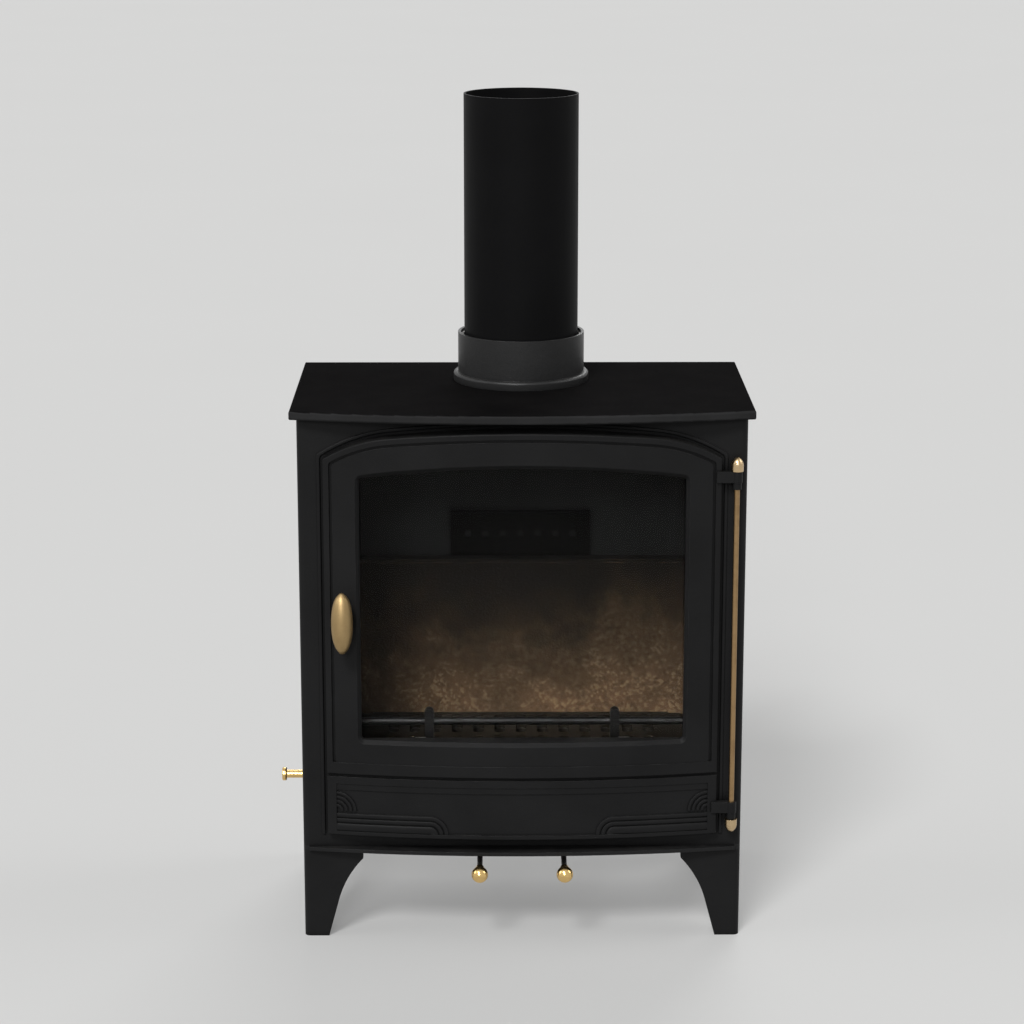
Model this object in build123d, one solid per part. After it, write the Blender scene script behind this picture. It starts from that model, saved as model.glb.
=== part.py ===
from build123d import *
import math
import os

# A free-standing multi-fuel stove: a steel body on four cast legs, a bowed cast door with
# a flat glass, a grate with a riddling plate, two sliding air controls and a flue outlet.
# Millimetres. X runs to the right, Y to the back and Z up from the floor.
# The pieces are built about the middle of the body's front face, at floor level, and are
# moved as one to the middle of the stove's outer box when they are written.

# Body shell
BODY_WIDTH = 477.0
BODY_DEPTH = 260.0
SHELL_HEIGHT = 476.4
LEG_HEIGHT = 100.6
BASE_THICK = 4.0
TOP_THICK = 9.5
SIDE_THICK = 6.0
BACK_THICK = 6.0
FRONT_THICK = 8.0
CORNER_ROUND = 6.5
BOW_RADIUS = 1120.0
LIP_RADIUS = 1400.0
LIP_REACH = 4.0
TOP_SIDE_OVERHANG = 7.0
TOP_FRONT_OVERHANG = 9.0
TOP_BACK_OVERHANG = 7.0
TOP_EDGE_ROUND = 2.0

# Clearances, the overcut of a through cut, and how near two equal places are
PIN_FIT = 0.1
RUNNING_FIT = 0.06
SLIDE_GAP = 0.3
SOFT_GAP = 0.3
OVERCUT = 1.0
NEAR = 0.01

# Legs and their bolts
LEG_FOOT_WIDTH = 26.7
LEG_WAIST_WIDTH = 38.0
LEG_WAIST_HEIGHT = 42.0
LEG_TOP_WIDTH = 65.0
LEG_SHOULDER_HEIGHT = 90.0
LEG_WEB = 8.0
LEG_FLANGE_THICK = 7.0
LEG_BOLT_INSET = 38.0
LEG_BOLT_RADIUS = 4.0
LEG_BOLT_HEAD_RADIUS = 7.5
LEG_BOLT_HEAD_THICK = 5.5
LEG_BOLT_TAIL = 2.0

# Door casting
DOOR_WIDTH = 421.5
DOOR_BOTTOM = 121.4
DOOR_TOP_DROP = 11.0
DOOR_GAP = 1.0
DOOR_EDGE_THICK = 8.0
DOOR_WALL = 7.0
CROWN_RADIUS = 1450.0
CROWN_SPAN = 140.0
SHOULDER_RADIUS = 160.0
DOOR_TOP_CORNER = 5.0
DOOR_FOOT_CORNER = 1.5
DOOR_EDGE_ROUND = 1.2

# Door relief
BAND_WIDTH = 6.2
GROOVE_WIDTH = 3.2
GROOVE_DEPTH = 2.5
FIELD_BOTTOM = 204.0
FIELD_DEPTH = 0.8
PARTING_HEIGHT = 190.0
PARTING_WIDTH = 3.6
PARTING_DEPTH = 3.5
STEP_HEIGHT = 180.0
STEP_DEPTH = 1.0
PANEL_TOP = 173.0
PANEL_BOTTOM = 126.0
PANEL_HALF_WIDTH = 201.0
PANEL_DEPTH = 2.4

# Carving on the lower panel: quarter fans above, reeds that turn down below
RIB_HEIGHT = 1.4
FAN_RISE = 22.8
FAN_RADIUS = 21.8
FAN_PITCH = 4.8
FAN_RIB = 3.0
FAN_RIBS = 4
REED_TURN_X = 99.5
REED_RADIUS = 20.0
REED_PITCH = 5.7
REED_GAP = 1.3
REED_BANDS = 3

# Window and glass
WINDOW_HALF_WIDTH = 173.0
WINDOW_BOTTOM = 230.0
WINDOW_DROP = 38.0
WINDOW_ARCH_RADIUS = 1150.0
WINDOW_CORNER = 4.0
WINDOW_BEVEL = 4.0
GLASS_THICK = 4.0
GLASS_LAP = 9.5
GLASS_EDGE_GAP = 2.0
GLASS_SEAT_DEPTH = 4.0
GASKET_THICK = 2.0
GASKET_INNER_LAP = 1.5
CLIP_WIDTH = 12.0
CLIP_FOOT = 11.0
CLIP_FINGER = 8.0
CLIP_THICK = 1.5
CLIP_SPREAD = 110.0
CLIP_SIDE_HEIGHT = 440.0
CLIP_SCREW_RADIUS = 2.0
CLIP_SCREW_HEAD_RADIUS = 3.8
CLIP_SCREW_HEAD_THICK = 2.2
CLIP_SCREW_DEPTH = 4.0

# Door rope seal and the hollow behind the lower panel
ROPE_INSET = 2.8
ROPE_WIDTH = 6.2
ROPE_DEPTH = 4.0
ROPE_SIDE_GAP = 0.2
POCKET_SIDE = 16.0
POCKET_TOP = 202.0
POCKET_CORNER = 8.0

# Front frame
MOUTH_INSET = 10.0
RIM_GAP = 3.0
RIM_WIDTH = 4.0
RIM_HEIGHT = 2.2
RIM_ROUND = 1.2

# Hinge
HINGE_X = 226.7
HINGE_STANDOFF = 9.0
HINGE_PIN_RADIUS = 3.0
LUG_RADIUS = 5.6
LUG_HEIGHT = 12.0
LUG_ARM_THICK = 7.0
LUG_DROP = 44.5
LOWER_LUG_TOP = 158.0
KNUCKLE_RADIUS = 4.8
KNUCKLE_HEIGHT = 7.0
FINIAL_RADIUS = 6.5
FINIAL_HEIGHT = 15.0
FINIAL_BELLY = 0.4
FINIAL_TIP = 1.2
FINIAL_BORE_DEPTH = 7.0

# Door handle and latch
HANDLE_X = -191.0
HANDLE_HEIGHT = 367.0
HANDLE_RADIUS = 11.5
HANDLE_LENGTH = 66.0
HANDLE_STANDOFF = 36.0
HANDLE_SHOULDER_RADIUS = 9.2
HANDLE_SHOULDER_DROP = 12.0
HANDLE_TIP_RADIUS = 2.4
SPINDLE_RADIUS = 4.0
SPINDLE_TAIL_RADIUS = 2.5
SPINDLE_COLLAR_RADIUS = 8.0
SPINDLE_COLLAR_THICK = 2.5
TONGUE_BOSS_RADIUS = 4.8
TONGUE_TIP_RADIUS = 3.5
TONGUE_REACH = 24.0
TONGUE_THICK = 6.0
LATCH_GAP = 0.6
KEEPER_THICK = 2.0
KEEPER_HEIGHT = 52.0
KEEPER_WIDTH = 26.0
SPINDLE_NUT_RADIUS = 4.6
SPINDLE_NUT_THICK = 4.0

# Firebox lining, tray and ledges
TRAY_HEIGHT = 180.0
TRAY_THICK = 6.0
TRAY_OPENING_HALF = 172.0
TRAY_OPENING_FRONT = 34.0
TRAY_BACK_RIM = 15.0
LEDGE_WIDTH = 20.0
LEDGE_LEG = 15.0
LEDGE_THICK = 3.0
LEDGE_END_GAP = 14.0
BRICK_THICK = 25.0
BRICK_HEIGHT = 184.0
BRICK_FRONT = 26.0
BRICK_BEVEL = 3.0

# Grate and riddling gear
GRATE_FLANGE = 12.0
GRATE_FLANGE_FRONT = 6.0
GRATE_FLANGE_THICK = 4.0
GRATE_DROP = 2.0
GRATE_THICK = 16.0
GRATE_EDGE_GAP = 2.0
SLOT_WIDTH = 12.0
SLOT_PITCH = 24.0
SLOT_COLUMNS = 13
SLOT_RIB = 12.0
SLOT_END_RIB = 9.0
RIDDLE_GAP = 0.8
RIDDLE_THICK = 5.0
RIDDLE_HALF = 165.0
RIDDLE_LAP = 2.0
RIDDLE_RAIL = 3.7
RIDDLE_RAIL_LIP = 10.5
RIDDLE_RAIL_REACH = 30.0
RIDDLE_ROD_RADIUS = 3.0
RIDDLE_ROD_DROP = 12.2
RIDDLE_ROD_Y = 80.0
RIDDLE_LUG_THICK = 6.0
RIDDLE_LUG_WIDTH = 16.0
RIDDLE_LUG_FOOT = 8.0
RIDDLE_KNOB_REACH = 27.6
RIDDLE_STEM_RADIUS = 4.5
RIDDLE_STEM_LENGTH = 19.0
RIDDLE_DISC_RADIUS = 7.5
RIDDLE_DISC_THICK = 5.0
RIDDLE_DISC_ROUND = 1.5

# Fuel guard
GUARD_Y = 19.0
GUARD_SPREAD = 100.7
GUARD_TOP = 256.0
GUARD_BAR_HEIGHT = 241.2
GUARD_BAR_RADIUS = 4.25
GUARD_BAR_HALF = 196.0
GUARD_POST_WIDTH = 10.0
GUARD_FOOT_WIDTH = 14.0
GUARD_FOOT_HEIGHT = 8.0
GUARD_PEG_RADIUS = 3.0
GUARD_PEG_GAP = 0.4

# Secondary air duct behind the rear brick
DUCT_HALF = 80.0
DUCT_DEPTH = 14.0
DUCT_TOP = 420.0
DUCT_WALL = 2.0
DUCT_HOLE_RADIUS = 4.0
DUCT_HOLE_COUNT = 7
DUCT_HOLE_PITCH = 20.0
DUCT_HOLE_DROP = 25.0

# Throat plate and airwash deflector
THROAT_SIDE_GAP = 3.0
THROAT_THICK = 6.0
THROAT_LENGTH = 190.0
THROAT_TILT = 14.0
THROAT_REAR_DROP = 99.0
THROAT_REAR_GAP = 2.0
REST_WIDTH = 10.0
REST_THICK = 4.0
REST_LENGTH = 160.0
AIRWASH_HALF = 195.0
AIRWASH_DEPTH = 22.0
AIRWASH_DROP = 46.0
AIRWASH_THICK = 3.0

# Air controls below the base plate
AIR_X = 46.0
AIR_HEIGHT = 84.6
AIR_ROD_RADIUS = 3.0
AIR_KNOB_RADIUS = 9.0
AIR_KNOB_Y = -36.0
AIR_NECK_RADIUS = 5.0
AIR_NECK_LENGTH = 9.0
AIR_KNOB_BORE = 13.0
AIR_SLOT_HALF = 26.0
AIR_PLATE_LAP = 6.0
AIR_PLATE_THICK = 3.0
AIR_TAB_HALF = 12.0
AIR_TAB_HANG = 8.0
PRIMARY_SLOT_FRONT = 92.0
PRIMARY_SLOT_LENGTH = 24.0
SECONDARY_SLOT_LENGTH = 10.0
AIR_TRAVEL = 28.0
RAIL_THICK = 3.0
RAIL_LIP = 5.0
GUIDE_Y = 42.0
GUIDE_HALF = 66.0
GUIDE_THICK = 3.0
GUIDE_FOOT = 15.0
GUIDE_HANG = 22.0

# Ash pan
PAN_HALF = 150.0
PAN_FRONT = 26.0
PAN_BACK_GAP = 26.0
PAN_HEIGHT = 35.0
PAN_WALL = 1.5
PAN_TAPER = 5.0
PAN_GRIP_HALF = 40.0
PAN_GRIP_REACH = 9.0
RUNNER_HEIGHT = 6.0
RUNNER_WIDTH = 10.0

# Flue
FLUE_TO_BACK = 90.0
FLUE_HOLE_RADIUS = 59.0
COLLAR_FLANGE_RADIUS = 74.5
COLLAR_FLANGE_THICK = 9.5
COLLAR_RADIUS = 69.5
COLLAR_HEIGHT = 53.5
COLLAR_LEDGE = 11.5
COLLAR_ROUND = 3.0
PIPE_RADIUS = 62.5
PIPE_WALL = 2.0
PIPE_TOP = 905.0
FLUE_ROPE_THICK = 3.2
FLUE_ROPE_HEIGHT = 14.0
FLUE_ROPE_SINK = 2.0
COLLAR_BOLT_CIRCLE = 66.5
COLLAR_BOLT_COUNT = 3

# Top plate fixings and back panel screws
BOLT_RADIUS = 3.0
BOLT_HEAD_RADIUS = 5.0
BOLT_HEAD_THICK = 4.0
BOLT_BITE = 6.0
BRACKET_REACH = 28.0
BRACKET_HEIGHT = 25.0
BRACKET_WIDTH = 30.0
BRACKET_THICK = 3.0
BRACKET_FRONT_Y = 60.0
BRACKET_BACK_INSET = 35.0
BACK_SCREW_INSET_X = 14.0
BACK_SCREW_INSET_Z = 20.0
BACK_SCREW_ROWS = 3

# Levels and faces that follow from the sizes above
HALF_WIDTH = BODY_WIDTH / 2
INNER_X = HALF_WIDTH - SIDE_THICK
BACK_FACE = BODY_DEPTH - BACK_THICK
BASE_TOP = LEG_HEIGHT + BASE_THICK
SHELL_TOP = BASE_TOP + SHELL_HEIGHT
TOP_FACE = SHELL_TOP + TOP_THICK
DOOR_TOP = SHELL_TOP - DOOR_TOP_DROP
WINDOW_TOP = DOOR_TOP - WINDOW_DROP
LUG_TOP = DOOR_TOP - LUG_DROP
THROAT_REAR_HEIGHT = SHELL_TOP - THROAT_REAR_DROP
DOOR_BACK = -DOOR_GAP
DOOR_EDGE_FRONT = DOOR_BACK - DOOR_EDGE_THICK
GLASS_FRONT = DOOR_BACK - GLASS_SEAT_DEPTH + GASKET_THICK
GLASS_BACK = GLASS_FRONT + GLASS_THICK
TRAY_TOP = TRAY_HEIGHT + TRAY_THICK
BRICK_TOP = TRAY_TOP + BRICK_HEIGHT
DUCT_FACE = BACK_FACE - DUCT_DEPTH
REAR_BRICK_FACE = DUCT_FACE - BRICK_THICK
TRAY_OPENING_BACK = REAR_BRICK_FACE - TRAY_BACK_RIM
GRATE_BOTTOM = TRAY_HEIGHT - GRATE_DROP
GRATE_FRONT = TRAY_OPENING_FRONT + GRATE_EDGE_GAP
GRATE_BACK = TRAY_OPENING_BACK - GRATE_EDGE_GAP
GRATE_MIDDLE = (GRATE_FRONT + GRATE_BACK) / 2
SLOT_LENGTH = (GRATE_BACK - GRATE_FRONT - 2 * SLOT_END_RIB - SLOT_RIB) / 2
SLOT_ROW_PITCH = SLOT_LENGTH + SLOT_RIB
RIDDLE_TOP = GRATE_BOTTOM - RIDDLE_GAP
RIDDLE_BOTTOM = RIDDLE_TOP - RIDDLE_THICK
RIDDLE_ROD_HEIGHT = RIDDLE_BOTTOM - RIDDLE_ROD_DROP
RIDDLE_FRONT = TRAY_OPENING_FRONT - RIDDLE_LAP
RIDDLE_BACK = TRAY_OPENING_BACK + RIDDLE_LAP
HINGE_Y = -HINGE_STANDOFF
KNUCKLE_DROP = LUG_HEIGHT + SLIDE_GAP + KNUCKLE_HEIGHT
HANDLE_Y = -HANDLE_STANDOFF
KEEPER_BACK = FRONT_THICK + KEEPER_THICK
TONGUE_FRONT = KEEPER_BACK + LATCH_GAP
TONGUE_BACK = TONGUE_FRONT + TONGUE_THICK
PAN_FLOOR = BASE_TOP + RUNNER_HEIGHT
PAN_RIM = PAN_FLOOR + PAN_HEIGHT
PAN_BACK = DUCT_FACE - PAN_BACK_GAP
AIR_PLATE_TOP = LEG_HEIGHT - SLIDE_GAP
AIR_PLATE_BOTTOM = AIR_PLATE_TOP - AIR_PLATE_THICK
SECONDARY_SLOT_FRONT = BACK_FACE - (DUCT_DEPTH - DUCT_WALL + SECONDARY_SLOT_LENGTH) / 2
FLUE_Y = BODY_DEPTH - FLUE_TO_BACK
COLLAR_SEAT = TOP_FACE + COLLAR_LEDGE
COLLAR_TOP = TOP_FACE + COLLAR_HEIGHT
COLLAR_BORE = PIPE_RADIUS + FLUE_ROPE_THICK + 2 * SOFT_GAP
RIDDLE_END = -HALF_WIDTH - RIDDLE_KNOB_REACH
BRACKET_BACK_Y = BODY_DEPTH - BRACKET_BACK_INSET
FAR = 100.0


# Plain shapes
def block(x0, x1, y0, y1, z0, z1):
    """A box between two opposite corners."""
    middle = Pos((x0 + x1) / 2, (y0 + y1) / 2, (z0 + z1) / 2)
    return middle * Box(x1 - x0, y1 - y0, z1 - z0)


def bar_x(radius, y, z, x0, x1):
    """A round bar that runs along X."""
    return Pos((x0 + x1) / 2, y, z) * Rot(0, 90, 0) * Cylinder(radius, x1 - x0)


def bar_y(radius, x, z, y0, y1):
    """A round bar that runs along Y."""
    return Pos(x, (y0 + y1) / 2, z) * Rot(90, 0, 0) * Cylinder(radius, y1 - y0)


def bar_z(radius, x, y, z0, z1):
    """A round bar that stands up."""
    return Pos(x, y, (z0 + z1) / 2) * Cylinder(radius, z1 - z0)


def front_prism(face, y0, y1):
    """A face drawn in X and Z, carried from y1 forward to y0."""
    return extrude(Plane.XZ.offset(-y1) * face, amount=y1 - y0)


def side_prism(face, x0, x1):
    """A face drawn in Y and Z, carried from x0 to x1."""
    return extrude(Plane.YZ.offset(x0) * face, amount=x1 - x0)


def bow_middle(end_y, half_width, radius=BOW_RADIUS):
    """Y of the bow's centre when its arc ends at end_y on both sides."""
    return end_y + math.sqrt(radius ** 2 - half_width ** 2)


def bowed_plate(half_width, end_y, back_y, z0, z1, radius=BOW_RADIUS):
    """A flat plate whose front edge bows forward between its two corners."""
    plate = block(-half_width, half_width, end_y - FAR, back_y, z0, z1)
    return plate & bar_z(radius, 0, bow_middle(end_y, half_width, radius), z0, z1)


def mirrored(shape):
    """The same shape on the other side of the stove."""
    return mirror(shape, about=Plane.YZ)


def pair(shape):
    """A shape and its mirror image as one group of separate solids."""
    return Compound(shape.solids() + mirrored(shape).solids())


def group(shapes):
    """Separate solids that share one node."""
    return Compound([solid for shape in shapes for solid in shape.solids()])


def round_corners(shape):
    """Rounds a shape's upright edges at the body's two front corners."""
    upright = [(edge, edge @ 0.5) for edge in shape.edges().filter_by(Axis.Z)]
    corners = [e for e, p in upright if abs(abs(p.X) - HALF_WIDTH) < NEAR and abs(p.Y) < NEAR]
    return fillet(corners, CORNER_ROUND)


# Outlines of the door and its window
def door_face(inset, bottom=None):
    """The door's outline drawn in by an inset, its arcs keeping their centres."""
    half = DOOR_WIDTH / 2 - inset
    low = DOOR_BOTTOM + inset if bottom is None else bottom
    lean = math.asin(CROWN_SPAN / CROWN_RADIUS)
    crown_z = DOOR_TOP - CROWN_RADIUS
    shoulder_x = (CROWN_RADIUS - SHOULDER_RADIUS) * math.sin(lean)
    shoulder_z = crown_z + (CROWN_RADIUS - SHOULDER_RADIUS) * math.cos(lean)
    crown_r = CROWN_RADIUS - inset
    shoulder_r = SHOULDER_RADIUS - inset
    join = (crown_r * math.sin(lean), crown_z + crown_r * math.cos(lean))
    fall = math.asin((half - shoulder_x) / shoulder_r)
    edge = (half, shoulder_z + shoulder_r * math.cos(fall))
    tilt = (lean + fall) / 2
    middle = (shoulder_x + shoulder_r * math.sin(tilt), shoulder_z + shoulder_r * math.cos(tilt))
    flip = lambda point: (-point[0], point[1])
    outline = Curve() + [
        Line((-half, low), (half, low)),
        Line((half, low), edge),
        ThreePointArc(edge, middle, join),
        ThreePointArc(join, (0, DOOR_TOP - inset), flip(join)),
        ThreePointArc(flip(join), flip(middle), flip(edge)),
        Line(flip(edge), (-half, low)),
    ]
    face = make_face(outline)
    corners = [v for v in face.vertices() if abs(abs(v.X) - half) < NEAR]
    face = fillet([v for v in corners if v.Y > low + NEAR], DOOR_TOP_CORNER)
    feet = [v for v in face.vertices() if abs(abs(v.X) - half) < NEAR and v.Y < low + NEAR]
    return fillet(feet, DOOR_FOOT_CORNER)


def window_face(lap):
    """The window's outline let out by a lap."""
    half = WINDOW_HALF_WIDTH + lap
    radius = WINDOW_ARCH_RADIUS + lap
    low = WINDOW_BOTTOM - lap
    spring = WINDOW_TOP - WINDOW_ARCH_RADIUS + math.sqrt(radius ** 2 - half ** 2)
    outline = Curve() + [
        Line((-half, low), (half, low)),
        Line((half, low), (half, spring)),
        ThreePointArc((half, spring), (0, WINDOW_TOP + lap), (-half, spring)),
        Line((-half, spring), (-half, low)),
    ]
    return fillet(make_face(outline).vertices(), WINDOW_CORNER + lap / 2)


def in_window(edge):
    """Whether an edge lies within the window's outline, seen from the front."""
    middle = edge @ 0.5
    in_width = abs(middle.X) < WINDOW_HALF_WIDTH + NEAR
    return in_width and WINDOW_BOTTOM - NEAR < middle.Z < WINDOW_TOP + NEAR


def door_bow(depth=0.0):
    """The solid behind the door's bowed front, sunk by a depth."""
    middle = bow_middle(DOOR_EDGE_FRONT, DOOR_WIDTH / 2)
    return bar_z(BOW_RADIUS - depth, 0, middle, 0, TOP_FACE)


def relief(face, depth):
    """What is taken off the door's front to sink a face by a depth."""
    return front_prism(face, -FAR, 0) - door_bow(depth)


def panel_face(half_width, z0, z1):
    """A plain oblong in X and Z."""
    return Pos(0, (z0 + z1) / 2) * Rectangle(2 * half_width, z1 - z0)


# Body
def slot_tool(x, y0, length):
    """The cut for one air inlet in the base plate."""
    return block(x - AIR_SLOT_HALF, x + AIR_SLOT_HALF, y0, y0 + length, 0, BASE_TOP + FAR)


def leg_bolt_places():
    """Where the four leg bolts stand."""
    side = HALF_WIDTH - LEG_BOLT_INSET
    rows = (LEG_BOLT_INSET, BODY_DEPTH - LEG_BOLT_INSET)
    return [(x, y) for x in (-side, side) for y in rows]


def base_plate():
    """The floor of the stove, with its bowed lip, air inlets and leg bolt holes."""
    plate = round_corners(block(-HALF_WIDTH, HALF_WIDTH, 0, BODY_DEPTH, LEG_HEIGHT, BASE_TOP))
    lip_half = HALF_WIDTH - CORNER_ROUND
    plate += bowed_plate(lip_half, -LIP_REACH, FRONT_THICK, LEG_HEIGHT, BASE_TOP, LIP_RADIUS)
    plate -= slot_tool(-AIR_X, PRIMARY_SLOT_FRONT, PRIMARY_SLOT_LENGTH)
    plate -= slot_tool(AIR_X, SECONDARY_SLOT_FRONT, SECONDARY_SLOT_LENGTH)
    for x, y in leg_bolt_places():
        plate -= bar_z(LEG_BOLT_RADIUS + PIN_FIT, x, y, 0, BASE_TOP + FAR)
    return plate


def leg_face():
    """A leg's flared outline, measured from the stove's corner inward."""
    foot = (LEG_FOOT_WIDTH, 0)
    waist = (LEG_WAIST_WIDTH, LEG_WAIST_HEIGHT)
    shoulder = (LEG_TOP_WIDTH, LEG_SHOULDER_HEIGHT)
    rise = (waist[0] - foot[0], waist[1] - foot[1])
    outline = Curve() + [
        Line((0, 0), foot),
        Line(foot, waist),
        TangentArc(waist, shoulder, tangent=rise),
        Line(shoulder, (LEG_TOP_WIDTH, LEG_HEIGHT)),
        Line((LEG_TOP_WIDTH, LEG_HEIGHT), (0, LEG_HEIGHT)),
        Line((0, LEG_HEIGHT), (0, 0)),
    ]
    return make_face(outline)


def leg():
    """The front left leg: two flared webs, a foot pad and a bolting flange."""
    front = Pos(-HALF_WIDTH, 0, 0) * front_prism(leg_face(), 0, LEG_WEB)
    side = side_prism(leg_face(), -HALF_WIDTH, -HALF_WIDTH + LEG_WEB)
    inner = -HALF_WIDTH + LEG_FOOT_WIDTH
    pad = block(-HALF_WIDTH, inner, 0, LEG_FOOT_WIDTH, 0, LEG_WEB)
    reach = LEG_TOP_WIDTH
    low = LEG_HEIGHT - LEG_FLANGE_THICK
    flange = block(-HALF_WIDTH, reach - HALF_WIDTH, 0, reach, low, LEG_HEIGHT)
    corner = (-HALF_WIDTH + LEG_BOLT_INSET, LEG_BOLT_INSET)
    casting = round_corners(front + side + pad + flange)
    return casting - bar_z(LEG_BOLT_RADIUS + PIN_FIT, corner[0], corner[1], low - FAR / 2, LEG_HEIGHT)


def to_back(shape):
    """A front piece turned into the matching piece at the back."""
    return mirror(shape, about=Plane.XZ.offset(-BODY_DEPTH / 2))


def leg_bolts():
    """Four bolts with nuts that hold the legs to the base plate."""
    low = LEG_HEIGHT - LEG_FLANGE_THICK
    head = RegularPolygon(LEG_BOLT_HEAD_RADIUS, 6)
    bolt = Pos(0, 0, low - LEG_BOLT_HEAD_THICK) * extrude(head, amount=LEG_BOLT_HEAD_THICK)
    bolt += bar_z(LEG_BOLT_RADIUS, 0, 0, low, BASE_TOP)
    bolt += Pos(0, 0, BASE_TOP) * extrude(head, amount=LEG_BOLT_HEAD_THICK)
    bolt += bar_z(LEG_BOLT_RADIUS, 0, 0, BASE_TOP, BASE_TOP + LEG_BOLT_HEAD_THICK + LEG_BOLT_TAIL)
    return group([Pos(x, y, 0) * bolt for x, y in leg_bolt_places()])


def side_panel():
    """The left side of the body."""
    return block(-HALF_WIDTH, -INNER_X, FRONT_THICK, BODY_DEPTH, BASE_TOP, SHELL_TOP)


def rod_hole():
    """The riddling rod's way through the left side."""
    radius = RIDDLE_ROD_RADIUS + RUNNING_FIT
    outer = -HALF_WIDTH - OVERCUT
    return bar_x(radius, RIDDLE_ROD_Y, RIDDLE_ROD_HEIGHT, outer, -INNER_X + OVERCUT)


def back_screw_places():
    """Where the back panel's screws go into the side panels' flanges."""
    side = INNER_X - BACK_SCREW_INSET_X
    low = BASE_TOP + BACK_SCREW_INSET_Z
    high = SHELL_TOP - BACK_SCREW_INSET_Z
    step = (high - low) / (BACK_SCREW_ROWS - 1)
    return [(x, low + row * step) for x in (-side, side) for row in range(BACK_SCREW_ROWS)]


def back_panel():
    """The back of the body, between the two sides."""
    panel = block(-INNER_X, INNER_X, BACK_FACE, BODY_DEPTH, BASE_TOP, SHELL_TOP)
    for x, z in back_screw_places():
        panel -= bar_y(BOLT_RADIUS + PIN_FIT, x, z, BACK_FACE, BODY_DEPTH)
    return panel


def back_screws():
    """Round-headed screws in the back panel."""
    screw = bar_y(BOLT_RADIUS, 0, 0, BACK_FACE, BODY_DEPTH)
    screw += bar_y(BOLT_HEAD_RADIUS, 0, 0, BODY_DEPTH, BODY_DEPTH + BOLT_HEAD_THICK)
    return group([Pos(x, 0, z) * screw for x, z in back_screw_places()])


def knuckle(top):
    """One of the frame's hinge knuckles, from its top down."""
    low = top - KNUCKLE_HEIGHT
    boss = bar_z(KNUCKLE_RADIUS, HINGE_X, HINGE_Y, low, top)
    web = block(HINGE_X - KNUCKLE_RADIUS, HINGE_X + KNUCKLE_RADIUS, HINGE_Y, 0, low, top)
    return boss + web


def front_frame():
    """The cast front: an arched mouth, a raised rim round the door and hinge knuckles."""
    plate = round_corners(block(-HALF_WIDTH, HALF_WIDTH, 0, FRONT_THICK, BASE_TOP, SHELL_TOP))
    rim_outer = door_face(-RIM_GAP - RIM_WIDTH, DOOR_BOTTOM - RIM_GAP)
    rim = rim_outer - door_face(-RIM_GAP, DOOR_BOTTOM - RIM_GAP - RIM_WIDTH)
    bead = front_prism(rim, -RIM_HEIGHT, 0)
    plate += fillet(bead.edges().group_by(Axis.Y)[0], RIM_ROUND)
    plate -= front_prism(door_face(MOUTH_INSET), -FAR, FRONT_THICK)
    for lug_top in (LUG_TOP, LOWER_LUG_TOP):
        plate += knuckle(lug_top - LUG_HEIGHT - SLIDE_GAP)
    return plate - bar_z(HINGE_PIN_RADIUS + PIN_FIT, HINGE_X, HINGE_Y, DOOR_BOTTOM, DOOR_TOP)


def latch_keeper():
    """A wear strip behind the frame that the door's tongue turns onto."""
    mouth = DOOR_WIDTH / 2 - MOUTH_INSET
    low = HANDLE_HEIGHT - KEEPER_HEIGHT / 2
    high = HANDLE_HEIGHT + KEEPER_HEIGHT / 2
    return block(-mouth - KEEPER_WIDTH, -mouth, FRONT_THICK, KEEPER_BACK, low, high)


def bolt_circle():
    """Where the collar's bolts stand."""
    turn = 2 * math.pi / COLLAR_BOLT_COUNT
    angles = [math.pi / 2 + n * turn for n in range(COLLAR_BOLT_COUNT)]
    r = COLLAR_BOLT_CIRCLE
    return [(r * math.cos(a), FLUE_Y + r * math.sin(a)) for a in angles]


def bracket_places():
    """Where the top plate's four fixing bolts stand."""
    side = INNER_X - BRACKET_REACH / 2
    return [(x, y) for x in (-side, side) for y in (BRACKET_FRONT_Y, BRACKET_BACK_Y)]


def top_plate():
    """The bowed top with the flue hole and the holes of its fixings."""
    half = HALF_WIDTH + TOP_SIDE_OVERHANG
    back = BODY_DEPTH + TOP_BACK_OVERHANG
    plate = bowed_plate(half, -TOP_FRONT_OVERHANG, back, SHELL_TOP, TOP_FACE)
    plate = fillet(plate.faces().sort_by(Axis.Z)[-1].edges(), TOP_EDGE_ROUND)
    plate = fillet(plate.faces().sort_by(Axis.Z)[0].edges(), TOP_EDGE_ROUND)
    plate -= bar_z(FLUE_HOLE_RADIUS, 0, FLUE_Y, SHELL_TOP, TOP_FACE)
    for x, y in bolt_circle():
        plate -= bar_z(BOLT_RADIUS + PIN_FIT, x, y, SHELL_TOP, TOP_FACE)
    for x, y in bracket_places():
        plate -= bar_z(BOLT_RADIUS + PIN_FIT, x, y, SHELL_TOP, SHELL_TOP + BOLT_BITE + PIN_FIT)
    return plate


def top_brackets():
    """Four angles inside the top corners that the top plate is bolted to."""
    y0 = BRACKET_FRONT_Y - BRACKET_WIDTH / 2
    y1 = BRACKET_FRONT_Y + BRACKET_WIDTH / 2
    inner = -INNER_X + BRACKET_REACH
    low = SHELL_TOP - BRACKET_THICK
    angle = block(-INNER_X, inner, y0, y1, low, SHELL_TOP)
    angle += block(-INNER_X, -INNER_X + BRACKET_THICK, y0, y1, SHELL_TOP - BRACKET_HEIGHT, low)
    hole_x = -INNER_X + BRACKET_REACH / 2
    angle -= bar_z(BOLT_RADIUS + PIN_FIT, hole_x, BRACKET_FRONT_Y, low, SHELL_TOP)
    rear = Pos(0, BRACKET_BACK_Y - BRACKET_FRONT_Y, 0) * angle
    return group([angle, rear, mirrored(angle), mirrored(rear)])


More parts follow.
